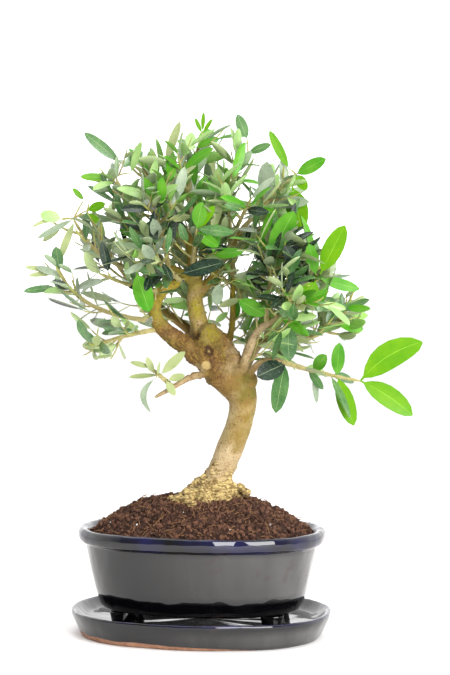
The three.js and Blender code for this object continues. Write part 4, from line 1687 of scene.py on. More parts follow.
@dataclass(frozen=True)
class BarkFinish:
    """Tan bark with olive patches and fine specks, corky gold at the foot, and pale cut wood."""

    name: str = "tan_bark"
    tan: Colour = srgb(122, 96, 46)
    olive: Colour = srgb(100, 94, 31)
    pale: Colour = srgb(174, 154, 118)
    gold: Colour = srgb(200, 177, 118)
    cork_crevice_and_shade: Colour = srgb(104, 78, 42)
    burl_light: Colour = srgb(136, 102, 44)
    burl_crevice_and_shade: Colour = srgb(74, 45, 22)
    young: Colour = srgb(132, 120, 30)
    speck: Colour = srgb(80, 56, 34)
    grain: Colour = srgb(112, 72, 38)
    cut: Colour = srgb(166, 143, 92)
    knot: Colour = srgb(60, 37, 18)
    speck_share: float = 0.6
    grain_share: float = 0.4
    burl_olive: float = 0.4
    cork_height: float = 1.8
    burl_height: float = 1.5
    gloss: Span = (0.7, 0.9)
    sheen: float = 0.3

    def material(self, effects: Effects) -> Material:
        """The bark as a material that reads the mesh's own marks.

        Args:
            effects: The shared effects.

        Returns:
            The material.
        """
        surface = Surface(self.name)
        wiring = surface.wiring
        mark = wiring.attribute
        patch = {"low": 0.4, "high": 0.62, "first": self.tan, "second": self.olive}
        ground = effects.mottle(wiring, scale=70.0, detail=6.0, **patch)
        # The pale mark holds the bark's own pale patches and painted edge light.
        colour = wiring.mix(mark("pale"), ground["Color"], self.pale)
        colour = wiring.mix(mark("young"), colour, self.young)
        specks = effects.specks(wiring, scale=460.0, size=0.36)
        colour = wiring.mix(wiring.times(specks, self.speck_share), colour, self.speck)
        grain = effects.specks(wiring, scale=950.0, size=0.7)
        colour = wiring.mix(wiring.times(grain, self.grain_share), colour, self.grain)
        # The burl and cork darken in their cracks and turn gold on the crests: the crevices' own darker bark
        # and painted shade in the cracks.
        cracks = effects.folds(wiring, scale=420.0, squeeze=0.8, width=0.12)
        burl = wiring.mix(wiring.times(mark("crest_over_crevice_shade"), cracks), self.burl_crevice_and_shade, self.burl_light)
        burl = wiring.mix(wiring.times(ground["Value"], self.burl_olive), burl, self.olive)
        creases = effects.folds(wiring, scale=120.0, squeeze=4.0, width=0.07)
        cork = wiring.mix(wiring.times(mark("crest_over_crevice_shade"), creases), self.cork_crevice_and_shade, self.gold)
        for name, layer in {"burl": burl, "cork": cork, "knot": self.knot, "cut": self.cut}.items():
            colour = wiring.mix(mark(name), colour, layer)
        fine = effects.mottle(wiring, scale=900.0, detail=6.0, low=0.3, high=0.7)["Value"]
        gloss = wiring.ramp(fine, start=self.gloss[0], end=self.gloss[1])
        surface.set(Base_Color=colour, Roughness=gloss, Specular_IOR_Level=self.sheen)
        height = wiring.math("SUBTRACT", fine, specks)
        for folds, name, tall in ((creases, "cork", self.cork_height), (cracks, "burl", self.burl_height)):
            height = wiring.math("ADD", height, wiring.times(wiring.times(folds, mark(name)), tall))
        surface.relief(height, strength=0.6, distance=0.3)
        return surface.material


@dataclass(frozen=True)
class TwigFinish:
    """Twigs that go from tan wood at the root to yellow green at the tip."""

    name: str = "twig_bark"
    wood: Colour = srgb(138, 128, 74)
    pale: Colour = srgb(164, 154, 106)
    fresh: Colour = srgb(150, 156, 72)
    gloss: Span = (0.55, 0.75)

    def material(self, effects: Effects) -> Material:
        """The twigs as a material that reads each twig's age along it.

        Args:
            effects: The shared effects.

        Returns:
            The material.
        """
        surface = Surface(self.name)
        wiring = surface.wiring
        wood = effects.mottle(wiring, scale=400.0, detail=4.0, first=self.wood, second=self.pale)
        colour = wiring.mix(wiring.attribute("fresh"), wood["Color"], self.fresh)
        gloss = wiring.ramp(wood["Value"], start=self.gloss[0], end=self.gloss[1])
        surface.set(Base_Color=colour, Roughness=gloss)
        surface.relief(wood["Value"], strength=0.4, distance=0.2)
        return surface.material


@dataclass(frozen=True)
class LeafFinish:
    """Leathery leaf skin in two near colours, with a few pale specks."""

    name: str
    first: Colour
    second: Colour
    speck_strength: float
    roughness: float
    sheen: float = 0.5
    gloss_sway: Span = (-0.05, 0.08)
    speck_colour: Colour = srgb(188, 200, 186)

    def material(self, effects: Effects) -> Material:
        """The leaf skin as a material.

        Args:
            effects: The shared effects.

        Returns:
            The material.
        """
        surface = Surface(self.name)
        wiring = surface.wiring
        spread = {"low": 0.3, "high": 0.7}
        spots = {"first": self.first, "second": self.second, **spread}
        colour = effects.mottle(wiring, scale=110.0, detail=3.0, **spots)["Color"]
        if self.speck_strength:
            specks = effects.specks(wiring, scale=700.0, size=0.3)
            colour = wiring.mix(wiring.times(specks, self.speck_strength), colour, self.speck_colour)
        fine = effects.mottle(wiring, scale=500.0, detail=4.0, **spread)["Value"]
        shiny, dull = (self.roughness + sway for sway in self.gloss_sway)
        gloss = wiring.ramp(fine, start=shiny, end=dull)
        surface.set(Base_Color=colour, Roughness=gloss, Specular_IOR_Level=self.sheen)
        surface.relief(fine, strength=0.15, distance=0.2)
        return surface.material


def leaf_sides(
    name: str,
    skin: tuple[Place, Place],
    back: tuple[Place, Place],
    speck_strength: float,
    roughness: float,
    sheen: float = 0.5,
    back_roughness: float = 0.6,
) -> tuple[LeafFinish, LeafFinish]:
    """The finishes of a leaf's two sides.

    Args:
        name: The leaf colour's name.
        skin: Two near colours of the upper side, as seen on screen.
        back: Two near colours of the back and the rib.
        speck_strength: How strong the pale specks on the upper side are.
        roughness: How dull the upper side is.
        sheen: How much the upper side reflects.
        back_roughness: How dull the back is.

    Returns:
        The upper side's finish and the back's.
    """
    upper = LeafFinish(f"leaf_{name}", srgb(*skin[0]), srgb(*skin[1]), speck_strength, roughness, sheen)
    under = LeafFinish(f"leaf_back_{name}", srgb(*back[0]), srgb(*back[1]), 0.0, back_roughness)
    return upper, under


LEAF_FINISHES = {
    Tone.DEEP: leaf_sides(
        "deep", ((16, 34, 24), (36, 56, 40)), ((118, 134, 100), (140, 154, 118)), 0.2, 0.26
    ),
    Tone.DARK: leaf_sides(
        "dark", ((54, 96, 48), (86, 124, 70)), ((136, 154, 104), (158, 172, 124)), 0.2, 0.28
    ),
    Tone.SILVER: leaf_sides(
        "silver", ((120, 138, 112), (150, 163, 139)), ((126, 150, 112), (148, 168, 134)), 0.3, 0.28, 0.6
    ),
    Tone.SAGE: leaf_sides(
        "sage", ((138, 152, 98), (160, 170, 118)), ((142, 162, 108), (162, 178, 130)), 0.1, 0.42
    ),
    Tone.MINT: leaf_sides(
        "mint", ((122, 162, 84), (152, 182, 112)), ((134, 168, 100), (154, 184, 122)), 0.12, 0.34, 0.5, 0.55
    ),
    Tone.GREEN: leaf_sides(
        "green", ((58, 128, 16), (90, 148, 36)), ((106, 158, 60), (126, 172, 78)), 0.05, 0.4, 0.3, 0.55
    ),
    Tone.LIME: leaf_sides(
        "lime", ((78, 136, 1), (98, 148, 6)), ((112, 164, 24), (132, 176, 44)), 0.03, 0.4, 0.3, 0.5
    ),
}


@dataclass
class LeafShape:
    """The blade that every leaf is cut to: stations from stalk to tip, and its section across."""

    stations: tuple[float, ...] = (0.0, 0.07, 0.16, 0.3, 0.46, 0.62, 0.78, 0.91, 1.0)
    widths: tuple[float, ...] = (0.07, 0.1, 0.5, 0.85, 1.0, 0.99, 0.84, 0.56, 0.08)
    across: tuple[float, ...] = (-1.0, -0.55, -0.024, 0.024, 0.55, 1.0)
    rise: tuple[float, ...] = (1.0, 0.32, 0.0, 0.0, 0.32, 1.0)
    under: tuple[float, ...] = (-0.5, 0.5)
    under_rise: float = 0.5
    thickness: float = 0.3
    sway: Span = (-0.1, 0.1)
    twist: Span = (-0.35, 0.35)
    shown_twist: float = 0.3
    cup: Span = (0.3, 1.6)

    def points(self, leaf: Leaf, dice: Dice) -> Array:
        """The vertices of one leaf: rows of upper ones, then rows of those under it.

        Args:
            leaf: The leaf.
            dice: Random numbers for its own bends.

        Returns:
            The vertices in millimetres.
        """
        sway, twist, cup = (dice.within(span) for span in (self.sway, self.twist, self.cup))
        if leaf.bow is not None:
            sway, twist, cup = leaf.bow, twist * self.shown_twist, cup * self.shown_twist
        side = np.cross(leaf.face, leaf.along)
        rows, below = [], []
        for far, share in zip(self.stations, self.widths):
            half = leaf.width / 2 * share
            turn = twist * far
            across = side * math.cos(turn) + leaf.face * math.sin(turn)
            face = leaf.face * math.cos(turn) - side * math.sin(turn)
            bend = leaf.along * far - leaf.face * leaf.droop * far**2 + side * sway * far * (1 - far)
            middle = leaf.root + bend * leaf.length
            lift = 2 * LEAF_FOLD * half * cup
            rows += [middle + across * half * a + face * lift * r for a, r in zip(self.across, self.rise)]
            low = lift * self.rise[1] * self.under_rise - self.thickness
            below += [middle + across * half * a + face * low for a in self.under]
        return np.array(rows + below)

    def faces(self) -> tuple[Faces, list[int]]:
        """The faces of a leaf.

        Returns:
            The faces, and the slot of each: 0 for the blade, or 1 for its rib and back.
        """
        columns, rows = len(self.across), len(self.stations)
        first = columns * rows
        faces, slots = [], []
        for i in range(rows - 1):
            for k in range(columns - 1):
                a = i * columns + k
                faces.append((a, a + columns, a + columns + 1, a + 1))
                slots.append(1 if k == columns // 2 - 1 else 0)
            left, right = i * columns, i * columns + columns - 1
            low, high = first + 2 * i, first + 2 * i + 1
            faces += [
                (left, low, low + 2, left + columns),
                (low, high, high + 2, low + 2),
                (high, right, right + columns, high + 2),
            ]
            slots += [1, 1, 1]
        last = (rows - 1) * columns
        faces.append((*range(columns), first + 1, first))
        faces.append((*range(last + columns - 1, last - 1, -1), first + 2 * rows - 2, first + 2 * rows - 1))
        return faces, slots + [1, 1]


@dataclass
class Foliage:
    """The crown's leaves and twigs as meshes."""

    crown: Crown
    effects: Effects
    shape: LeafShape = field(default_factory=LeafShape)
    twig_sides: int = 6
    twig_steps: int = 6
    knuckle: float = 0.22
    tip_share: float = 0.5
    stem_fresh: float = 0.3
    twig_fresh: float = 1.0
    fresh_start: float = 0.1
    leaf_seed: int = 910003

    def leaf_piece(self, tone: Tone) -> Piece:
        """All leaves of one colour as one piece, with a paler slot for the backs and ribs.

        Args:
            tone: The colour.

        Returns:
            The piece.
        """
        store = MeshStore()
        faces, slots = self.shape.faces()
        dice = Dice(self.leaf_seed)
        for spray in self.crown.sprays():
            for leaf in spray.leaves:
                if leaf.tone is tone:
                    store.add(self.shape.points(leaf, dice), faces, slots)
        piece = store.to_object(f"leaves_{tone.value}")
        for finish in LEAF_FINISHES[tone]:
            piece.data.materials.append(finish.material(self.effects))
        smooth(piece)
        return piece

    def twig_piece(self) -> Piece:
        """All stems and twigs as one piece, thicker at the joints and fresher towards the tips.

        Returns:
            The piece.
        """
        store = MeshStore()
        stems = {id(mass.stem) for mass in self.crown.masses.values()}
        for spray in self.crown.sprays():
            is_stem = id(spray) in stems
            steps = self.twig_steps * (2 if is_stem else 1)
            shares = np.arange(steps + 1) / steps
            radii = np.array([spray.path.radius(u) for u in shares])
            radii *= 1 + self.knuckle * (np.arange(steps + 1) % 2)
            radii[-1] *= self.tip_share
            points, faces = tube(spray.path, self.twig_sides, steps, radii)
            gain = self.stem_fresh if is_stem else self.twig_fresh
            fresh = np.clip(gain * shares - self.fresh_start, 0, 1)
            store.add(points, faces, values=np.repeat(fresh, self.twig_sides))
        piece = store.to_object("twigs", "fresh")
        piece.data.materials.append(TwigFinish().material(self.effects))
        smooth(piece)
        return piece

    def build(self) -> None:
        """Builds the pieces and sets them in the frame in place of the masses."""
        pieces = [(self.leaf_piece(tone), "young_leaf" if tone is Tone.LIME else "leaf") for tone in Tone]
        pieces.append((self.twig_piece(), "bark"))
        for piece, slot in pieces:
            enter(piece, slot, *MASSES)


@dataclass
class Wood:
    """Trunk, surface roots and boughs as one body of bark."""

    effects: Effects
    voxel: float = 0.54
    sides: int = 24
    step: float = 1.5
    round_end: float = 0.08
    end_fall: float = 0.75
    smoothing: float = 0.5
    smooth_rounds: int = 6
    lump_cuts: int = 3
    crease: float = math.radians(120)
    lumps: tuple = (
        ((3.0, -2.5, 176.5), 6.6), ((1.5, -3.0, 171.0), 7.6), ((5.5, -2.5, 173.8), 7.2),
        ((8.2, -2.2, 170.6), 7.6), ((11.0, -2.0, 166.6), 8.0), ((13.5, -1.6, 162.0), 8.4),
        ((25.5, -3.0, 149.5), 6.5), ((-24.5, -9.0, 181.0), 4.9), ((-4.4, 2.6, 204.0), 5.0),
        ((22.5, 1.0, 85.5), 2.9), ((25.5, 0.0, 83.5), 2.6), ((-12.5, -8.0, 79.0), 4.6),
        ((-17.0, -9.5, 78.6), 3.4), ((-13.5, -14.0, 79.0), 4.0), ((-8.0, -18.0, 79.0), 4.2),
        ((-5.0, -24.0, 78.0), 3.2), ((2.5, -16.0, 80.0), 4.6), ((10.0, -13.5, 80.6), 4.4),
        ((-6.5, -9.0, 81.5), 5.8), ((1.0, -9.0, 83.0), 6.4), ((9.0, -8.0, 83.0), 6.4),
        ((15.0, -4.0, 85.0), 5.4),
    )
    scars: tuple = (((1.8, 158.4), 2.7), ((3.2, 167.0), 0.6))
    knots: tuple = (((3.2, 167.0), 2.9), ((-4.4, 175.5), 2.1))
    burls: tuple = (
        ((4.0, 0.0, 164.0), (23.0, 20.0, 18.0)),
        ((-13.0, -7.0, 172.0), (14.0, 12.0, 8.0)),
        ((-17.0, -8.0, 179.0), (10.0, 10.0, 5.0)),
    )
    greens: tuple = (((-4.5, -3.0, 191.5), (4.5, 6.0, 7.0)), ((4.5, -9.0, 177.5), (5.5, 6.0, 6.0)))
    blend: int = 7

    grain_stretch: float = 0.68
    ring_scale: float = 0.16
    ring_squeeze: float = 0.42
    ring_sway: float = 0.9
    plate_scale: float = 0.5
    plate_shift: float = 7.0
    fold_finer: float = 2.3
    fold_shift: float = 5.0
    fold_share: float = 0.4
    fold_gain: float = 2.6
    grain_depth: float = 0.14
    grain_full: float = 5.0
    grain_limits: Span = (0.3, 1.3)
    swell_depth: float = 0.05
    cork_depths: Place = (1.0, 1.4, 0.4)
    burl_depths: Place = (0.6, 0.9, 0.6)
    cut_depth: float = 0.3
    knot_depth: float = 0.8
    crest_grain: float = 0.25
    low_share: float = 0.85
    bare_young: float = 0.22
    # Painted light on the bare trunk: paler towards its edges and darker where it faces the key light, by the
    # sideways tilt of its surface.
    painted_shade_facing: float = 0.25
    painted_edge_light: Place = (0.15, 0.75, 0.3)
    young_sway: Span = (0.7, 1.2)
    burl_sway: Span = (1.1, 0.9)
    green_sway: Span = (1.0, 1.2)
    faded_above: float = 152.0
    faded_left: Span = (6.0, 2.0)
    faded_soft: float = 8.0
    pale_sway: float = 0.25
    burl_share: float = 0.85
    burl_green: float = 0.8
    mark_probe: float = 1.0
    mark_reach: float = 8.0
    mark_scale: float = 0.7
    ring_edge: Span = (0.4, 1.5)
    disc_edge: Span = (0.1, 0.6)
    ring_hole: float = 0.35

    def limb_tube(self, limb: Limb, share: float) -> tuple[Array, Faces]:
        """A limb as a closed tube with a rounded tip.

        Args:
            limb: The limb.
            share: The share of its thickness to give it.

        Returns:
            The tube's vertices in millimetres and its faces.
        """
        steps = math.ceil(path_length(limb) / self.step)
        shares = np.arange(steps + 1) / steps
        ends = np.clip((shares - 1 + self.round_end) / self.round_end, 0, 1)
        radii = np.array([limb.radius(u) for u in shares]) * share * np.sqrt(1 - self.end_fall * ends**2)
        return tube(limb, self.sides, steps, radii)

    @staticmethod
    def roots() -> dict[str, Limb]:
        """The surface roots, from inside the trunk down and out to just under the ground.

        Returns:
            The roots by name.
        """
        limbs = {}
        for bearing, reach in ROOT_REACHES.items():
            angle = math.radians(bearing)
            outward = np.array((math.cos(angle), math.sin(angle), 0.0))
            bend = TRUNK_FOOT + outward * reach * ROOT_BEND + UP * ROOT_SINK
            end = TRUNK_FOOT + outward * reach - UP * ROOT_SINK
            limbs[f"root_{bearing}"] = Limb(np.array((ROOT_START, bend, end)), ROOT_RADII)
        return limbs

    def rough_body(self) -> Piece:
        """Every limb and swelling in one mesh, fused by remeshing and smoothed.

        Returns:
            The bark, before its relief is cut.
        """
        limbs = {"trunk": Limb(TRUNK_POINTS, TRUNK_RADII), **self.roots(), **BOUGHS}
        store = MeshStore()
        for name, limb in limbs.items():
            store.add(*self.limb_tube(limb, SLIM_LIMBS.get(name, 1.0)))
        body = store.to_object("bark")
        for place, radius in self.lumps:
            bpy.ops.object.select_all(action="DESELECT")
            bpy.ops.mesh.primitive_ico_sphere_add(
                subdivisions=self.lump_cuts, radius=radius * MM, location=[value * MM for value in place]
            )
            swelling = bpy.context.active_object
            activate(body)
            swelling.select_set(True)
            bpy.ops.object.join()
        apply_modifier(body, "REMESH", mode="VOXEL", voxel_size=self.voxel * MM)
        apply_modifier(body, "SMOOTH", factor=self.smoothing, iterations=self.smooth_rounds)
        self.tree = self.limb_tree(limbs)
        return body

    def limb_tree(self, limbs: dict[str, Limb]) -> kdtree.KDTree:
        """A look-up from a place to the nearest limb's direction, radius and kind of bark there.

        Args:
            limbs: The limbs by name.

        Returns:
            The tree, whose numbers are rows of directions, thickness and kinds.
        """
        rows = []
        for name, limb in limbs.items():
            steps = math.ceil(path_length(limb) / self.step)
            kind = (YOUNG_BARK.get(name, 0.0), PALE_BARK.get(name, 0.0))
            for i in range(steps + 1):
                rows.append((limb.point(i / steps), tangent(limb, i / steps), limb.radius(i / steps), kind))
        tree = kdtree.KDTree(len(rows))
        for i, row in enumerate(rows):
            tree.insert(Vector(row[0]), i)
        tree.balance()
        self.directions = np.array([row[1] for row in rows])
        self.thickness = np.array([row[2] for row in rows])
        self.kinds = np.array([row[3] for row in rows])
        return tree

    def mark(self, points: Array, spots: tuple, ring: bool) -> Array:
        """A mask of round marks on the front of the trunk.

        Args:
            points: The bark's vertices in millimetres.
            spots: Each mark's place from the front and its radius.
            ring: Whether the marks are rings and not discs.

        Returns:
            The mask, from 0 to 1 at each vertex.
        """
        ragged, soft = self.ring_edge if ring else self.disc_edge
        mask = np.zeros(len(points))
        for (across, high), radius in spots:
            flat = np.linalg.norm(points[:, (0, 2)] - np.array((across, high)), axis=1)
            near = flat < self.mark_probe
            front = points[near, 1].min() if near.any() else 0.0
            far = np.linalg.norm(points - np.array((across, front, high)), axis=1)
            around = far < self.mark_reach
            sway = np.zeros(len(points))
            sway[around] = [noise.noise(Vector(p * self.mark_scale)) for p in points[around]]
            far = far * (1 + sway * ragged)
            share = np.clip((radius - far) / soft + 0.5, 0, 1)
            hole = np.clip((radius * self.ring_hole - far) / soft + 0.5, 0, 1) if ring else 0.0
            mask = np.maximum(mask, share - hole)
        return mask

    def carve(self, body: Piece) -> None:
        """Cuts the bark's relief and writes the marks that its finish reads.

        Args:
            body: The bark as remeshed.
        """
        points, normals = mesh_points(body) / MM, mesh_points(body, "normal")
        near = np.array([[found[1] for found in self.tree.find_n(Vector(p), self.blend)] for p in points])
        along, thick = self.directions[near[:, 0]], self.thickness[near[:, 0]]
        young, faded = self.kinds[near].mean(1).T
        run = (points * along).sum(1)[:, None]
        flow = points - along * run * self.grain_stretch
        swells, wobble = cloud(points, scale=0.11), cloud(points, scale=0.2, shift=40)
        grain, rough = cloud(flow, scale=0.8), cloud(points, scale=0.7, shift=90)
        cork = self.below(points, top=98, soft=4, sway=9 * wobble)
        burl = self.patches(points, self.burls, self.burl_sway[0] + self.burl_sway[1] * wobble)
        green = self.patches(points, self.greens, self.green_sway[0] + self.green_sway[1] * rough)
        rings = points * self.ring_scale + along * (run * self.ring_squeeze)
        wrinkles = self.crests(rings + self.ring_sway * wobble[:, None])
        plates = self.crests(flow * self.plate_scale + self.plate_shift)
        cut, knot = self.mark(points, self.scars, False), self.mark(points, self.knots, True)
        push = grain * self.grain_depth * np.clip(thick / self.grain_full, *self.grain_limits)
        push += swells * self.swell_depth * thick
        for share, folds, depths in ((cork, wrinkles, self.cork_depths), (burl, plates, self.burl_depths)):
            push += share * (depths[0] * (folds - 0.5) + depths[1] * wobble + depths[2] * rough)
        push = push * (1 - cut) - self.cut_depth * cut - self.knot_depth * knot
        set_points(body, (points + normals * push[:, None]) * MM)
        low = self.below(points, top=118, soft=16, sway=12 * swells) * self.low_share
        bare = self.below(points, top=142, soft=12, sway=10 * swells)
        # Painted edge light and shade: in the bare band the bark turns paler as its surface turns away from
        # the key light and darker where it faces it; the pale mark carries this together with the bark's own
        # pale patches.
        least, gain, sway = self.painted_edge_light
        sides = np.clip(least + gain * (normals[:, 0] - self.painted_shade_facing) ** 2 - sway * wobble, 0, 1)
        left = self.faded_left[0] - self.faded_left[1] * points[:, 0]
        beyond = np.maximum(points[:, 2] - self.faded_above, left) / self.faded_soft
        pale = np.maximum(low, bare * sides) + faded * np.clip(beyond, 0, 1) + swells * self.pale_sway
        young = np.maximum(young * np.clip(self.young_sway[0] + self.young_sway[1] * wobble, 0, 1), green)
        marks = {
            "cork": cork,
            # The crest mark follows the carved folds, so the colour darkens in their cracks as painted shade
            # as well as the crevices' own colour.
            "crest_over_crevice_shade": np.clip(np.where(cork > burl, wrinkles, plates) + self.crest_grain * grain, 0, 1),
            "burl": burl * self.burl_share * (1 - self.burl_green * green),
            "young": np.maximum(young, self.bare_young * bare * (1 - low)),
            "pale": np.clip(pale, 0, 1),
            "cut": cut,
            "knot": knot,
        }
        for name, values in marks.items():
            set_attribute(body, name, values)

    @staticmethod
    def below(points: Array, top: float, soft: float, sway: Array) -> Array:
        """A mask of all that lies below a top that sways, with a soft edge."""
        return np.clip((top - points[:, 2] + sway) / soft, 0, 1)

    @staticmethod
    def patches(points: Array, spots: tuple, ragged: Array) -> Array:
        """A mask of oval patches, by their middles and reaches, with ragged edges."""
        far = [(((points - np.array(middle)) / np.array(reach)) ** 2).sum(1) for middle, reach in spots]
        return np.clip(np.exp(-(np.minimum.reduce(far) ** 2)) * ragged, 0, 1)

    def crests(self, places: Array) -> Array:
        """Rough folds with narrow cracks between them.

        Args:
            places: Where to read them.

        Returns:
            A value at each place, from 0 in a crack to 1 on a fold.
        """
        finer = places * self.fold_finer + self.fold_shift
        broad, fine = (np.array([abs(noise.noise(Vector(p))) for p in each]) for each in (places, finer))
        return np.clip((broad + self.fold_share * fine) * self.fold_gain, 0, 1)

    def build(self) -> None:
        """Builds the bark and sets it in the frame in place of trunk and boughs."""
        body = self.rough_body()
        self.carve(body)
        body.data.materials.clear()
        body.data.materials.append(BarkFinish().material(self.effects))
        smooth(body, self.crease)
        enter(body, "bark", "trunk", *BOUGHS)


@dataclass
class OvalWare:
    """A piece of the planter: an upright section carried round the notched oval."""

    name: str
    section: tuple[Span, ...]
    depth_ratio: float
    rings: int = 96
    levels: int = 2
    wobble: float = 0.5
    wobble_scale: float = 0.045
    wobble_layers: int = 3
    foot_fade: float = 2.0

    @staticmethod
    def reach(angle: Array, depth_ratio: float) -> Array:
        """How far the outline is from the middle, for an oval of half length one.

        Args:
            angle: The bearings to look along.
            depth_ratio: The oval's depth as a share of its length.

        Returns:
            The distance along each bearing.
        """
        cos, sin = np.abs(np.cos(angle)), np.abs(np.sin(angle))
        oval = (cos**OVAL_POWER + (sin / depth_ratio) ** OVAL_POWER) ** (-1 / OVAL_POWER)
        notch = np.exp(-(((np.arctan2(sin, cos) - NOTCH_ANGLE) / NOTCH_WIDTH) ** 2))
        return oval * (1 - NOTCH_DEPTH * notch)

    def throw(self) -> Piece:
        """Raises the section ring by ring from a disc, then presses it to the oval.

        Returns:
            The finished ware.
        """
        half, height = self.section[0]
        bpy.ops.object.select_all(action="DESELECT")
        bpy.ops.mesh.primitive_circle_add(
            vertices=self.rings, radius=half * MM, fill_type="TRIFAN", location=(0, 0, height * MM)
        )
        piece = bpy.context.active_object
        bpy.ops.object.transform_apply(location=True, rotation=False, scale=False)
        piece.name = piece.data.name = self.name
        bpy.ops.object.mode_set(mode="EDIT")
        bpy.ops.mesh.select_all(action="SELECT")
        for next_half, next_height in self.section[1:]:
            rise = (0, 0, (next_height - height) * MM)
            bpy.ops.mesh.extrude_region_move(TRANSFORM_OT_translate={"value": rise})
            grow = next_half / half
            bpy.ops.transform.resize(value=(grow, grow, 1), center_override=(0, 0, next_height * MM))
            half, height = next_half, next_height
        bpy.ops.mesh.select_all(action="SELECT")
        bpy.ops.mesh.normals_make_consistent(inside=False)
        bpy.ops.object.mode_set(mode="OBJECT")
        self.press(piece)
        return piece

    def press(self, piece: Piece) -> None:
        """Presses round rings to the oval, turns them to the planter's bearing and smooths them.

        Args:
            piece: The ware as thrown.
        """
        points = mesh_points(piece)
        angle = np.arctan2(points[:, 1], points[:, 0])
        points[:, :2] *= self.reach(angle, self.depth_ratio)[:, None]
        cos, sin = math.cos(PLANTER_YAW), math.sin(PLANTER_YAW)
        turn = np.array(((cos, -sin, 0), (sin, cos, 0), (0, 0, 1)))
        set_points(piece, points @ turn.T)
        apply_modifier(piece, "SUBSURF", levels=self.levels, render_levels=self.levels)
        self.unsettle(piece)

    def unsettle(self, piece: Piece) -> None:
        """Gives the surface the slight unevenness of a hand-finished one, leaving its foot flat.

        Args:
            piece: The ware as pressed.
        """
        points, normals = mesh_points(piece) / MM, mesh_points(piece, "normal")
        foot = points[:, 2].min()
        push = cloud(points, self.wobble_scale, layers=self.wobble_layers) * self.wobble
        push *= np.clip((points[:, 2] - foot) / self.foot_fade, 0, 1)
        set_points(piece, (points + normals * push[:, None]) * MM)


@dataclass
class Planter:
    """The pot on its feet, and the tray that it stands in."""

    effects: Effects
    pot_bottom: float = 15.5
    pot_section: tuple = (
        (58, 15.5), (59.2, 17.5), (62.2, 26), (65.2, 38), (67, 49), (67.6, 53.6), (68.2, 54.3),
        (71.6, 54.9), (72.6, 58.5), (71.9, 62.3), (70.2, 63.1), (67.3, 62.5), (66.3, 60.5), (62, 48),
        (52.5, 21),
    )
    tray_floor: float = 9.0
    tray_section: tuple = (
        (69.6, 0), (70.2, 0.3), (71.6, 3), (74.6, 9), (76.5, 13.3), (76.1, 14.8), (75, 15.2), (73.6, 14.9),
        (71.6, 12.5), (68, 9.3), (64, 9),
    )
    foot_size: Span = (7.0, 5.5)
    foot_place: Span = (44.0, 21.0)
    foot_taper: float = 0.82
    foot_sides: int = 32
    foot_bevel: float = 0.9
    bevel_steps: int = 3
    facing_down: float = -0.9
    # Each glaze carries a band of painted reflection between the heights given.
    glaze: GlazeFinish = GlazeFinish("black_glaze", blue_above=53.0, reflection_from=24.0, reflection_to=56.0)
    tray_glaze: GlazeFinish = GlazeFinish(
        "black_glaze_over_clay", blue_above=13.0, reflection_from=-2.0, reflection_to=12.5, bare_below=3.0
    )

    def foot(self, across: int, along: int) -> Piece:
        """One foot of the pot, tapered down and with its edges rounded.

        Args:
            across: -1 for the left, 1 for the right.
            along: -1 for the front, 1 for the back.

        Returns:
            The foot in its place.
        """
        height = self.pot_bottom - self.tray_floor
        bpy.ops.object.select_all(action="DESELECT")
        bpy.ops.mesh.primitive_cylinder_add(vertices=self.foot_sides, radius=MM, depth=height * MM)
        foot = bpy.context.active_object
        bpy.ops.object.mode_set(mode="EDIT")
        bpy.ops.mesh.select_all(action="DESELECT")
        bpy.ops.object.mode_set(mode="OBJECT")
        for polygon in foot.data.polygons:
            polygon.select = polygon.normal.z < self.facing_down
        bpy.ops.object.mode_set(mode="EDIT")
        bpy.ops.transform.resize(value=(self.foot_taper, self.foot_taper, 1))
        bpy.ops.object.mode_set(mode="OBJECT")
        turn = Matrix.Rotation(PLANTER_YAW, 4, "Z")
        middle = self.tray_floor + height / 2
        place = Vector((across * self.foot_place[0], along * self.foot_place[1], middle))
        size = Matrix.Diagonal((*self.foot_size, 1.0, 1.0))
        foot.data.transform(turn @ Matrix.Translation(place * MM) @ size)
        bevel = {"width": self.foot_bevel * MM, "segments": self.bevel_steps, "limit_method": "ANGLE"}
        apply_modifier(foot, "BEVEL", **bevel)
        return foot

    def feet(self) -> Piece:
        """The four feet as one piece.

        Returns:
            The feet, joined.
        """
        made = [self.foot(across, along) for along in (-1, 1) for across in (-1, 1)]
        activate(made[0])
        for foot in made[1:]:
            foot.select_set(True)
        bpy.ops.object.join()
        made[0].name = made[0].data.name = "pot_feet"
        return made[0]

    def build(self) -> None:
        """Builds pot, feet and tray and sets them in the frame."""
        glaze, edged = self.glaze.material(self.effects), self.tray_glaze.material(self.effects)
        feet = [f"pot_foot_{side}_{hand}" for side in ("front", "back") for hand in ("left", "right")]
        pot = OvalWare("glazed_pot", self.pot_section, POT_DEPTH_RATIO).throw()
        tray = OvalWare("glazed_tray", self.tray_section, TRAY_DEPTH_RATIO).throw()
        pieces = ((pot, glaze, ["pot"]), (tray, edged, ["tray"]), (self.feet(), glaze, feet))
        for piece, finish, nodes in pieces:
            piece.data.materials.append(finish)
            smooth(piece)
            enter(piece, "glaze", *nodes)


PEAT = CrumbFinish("peat", srgb(38, 25, 20), srgb(64, 44, 35), scale=260.0)
DARK_CRUMBS = CrumbFinish("peat_dark", srgb(50, 33, 27), srgb(76, 52, 42))
BROWN_CRUMBS = CrumbFinish("peat_brown", srgb(78, 53, 41), srgb(110, 77, 60))
WHITE_GRIT = CrumbFinish("white_grit", srgb(196, 190, 180), srgb(232, 228, 220))
PEAT_FIBRE = CrumbFinish("peat_fibre", srgb(100, 70, 48), srgb(136, 102, 72))


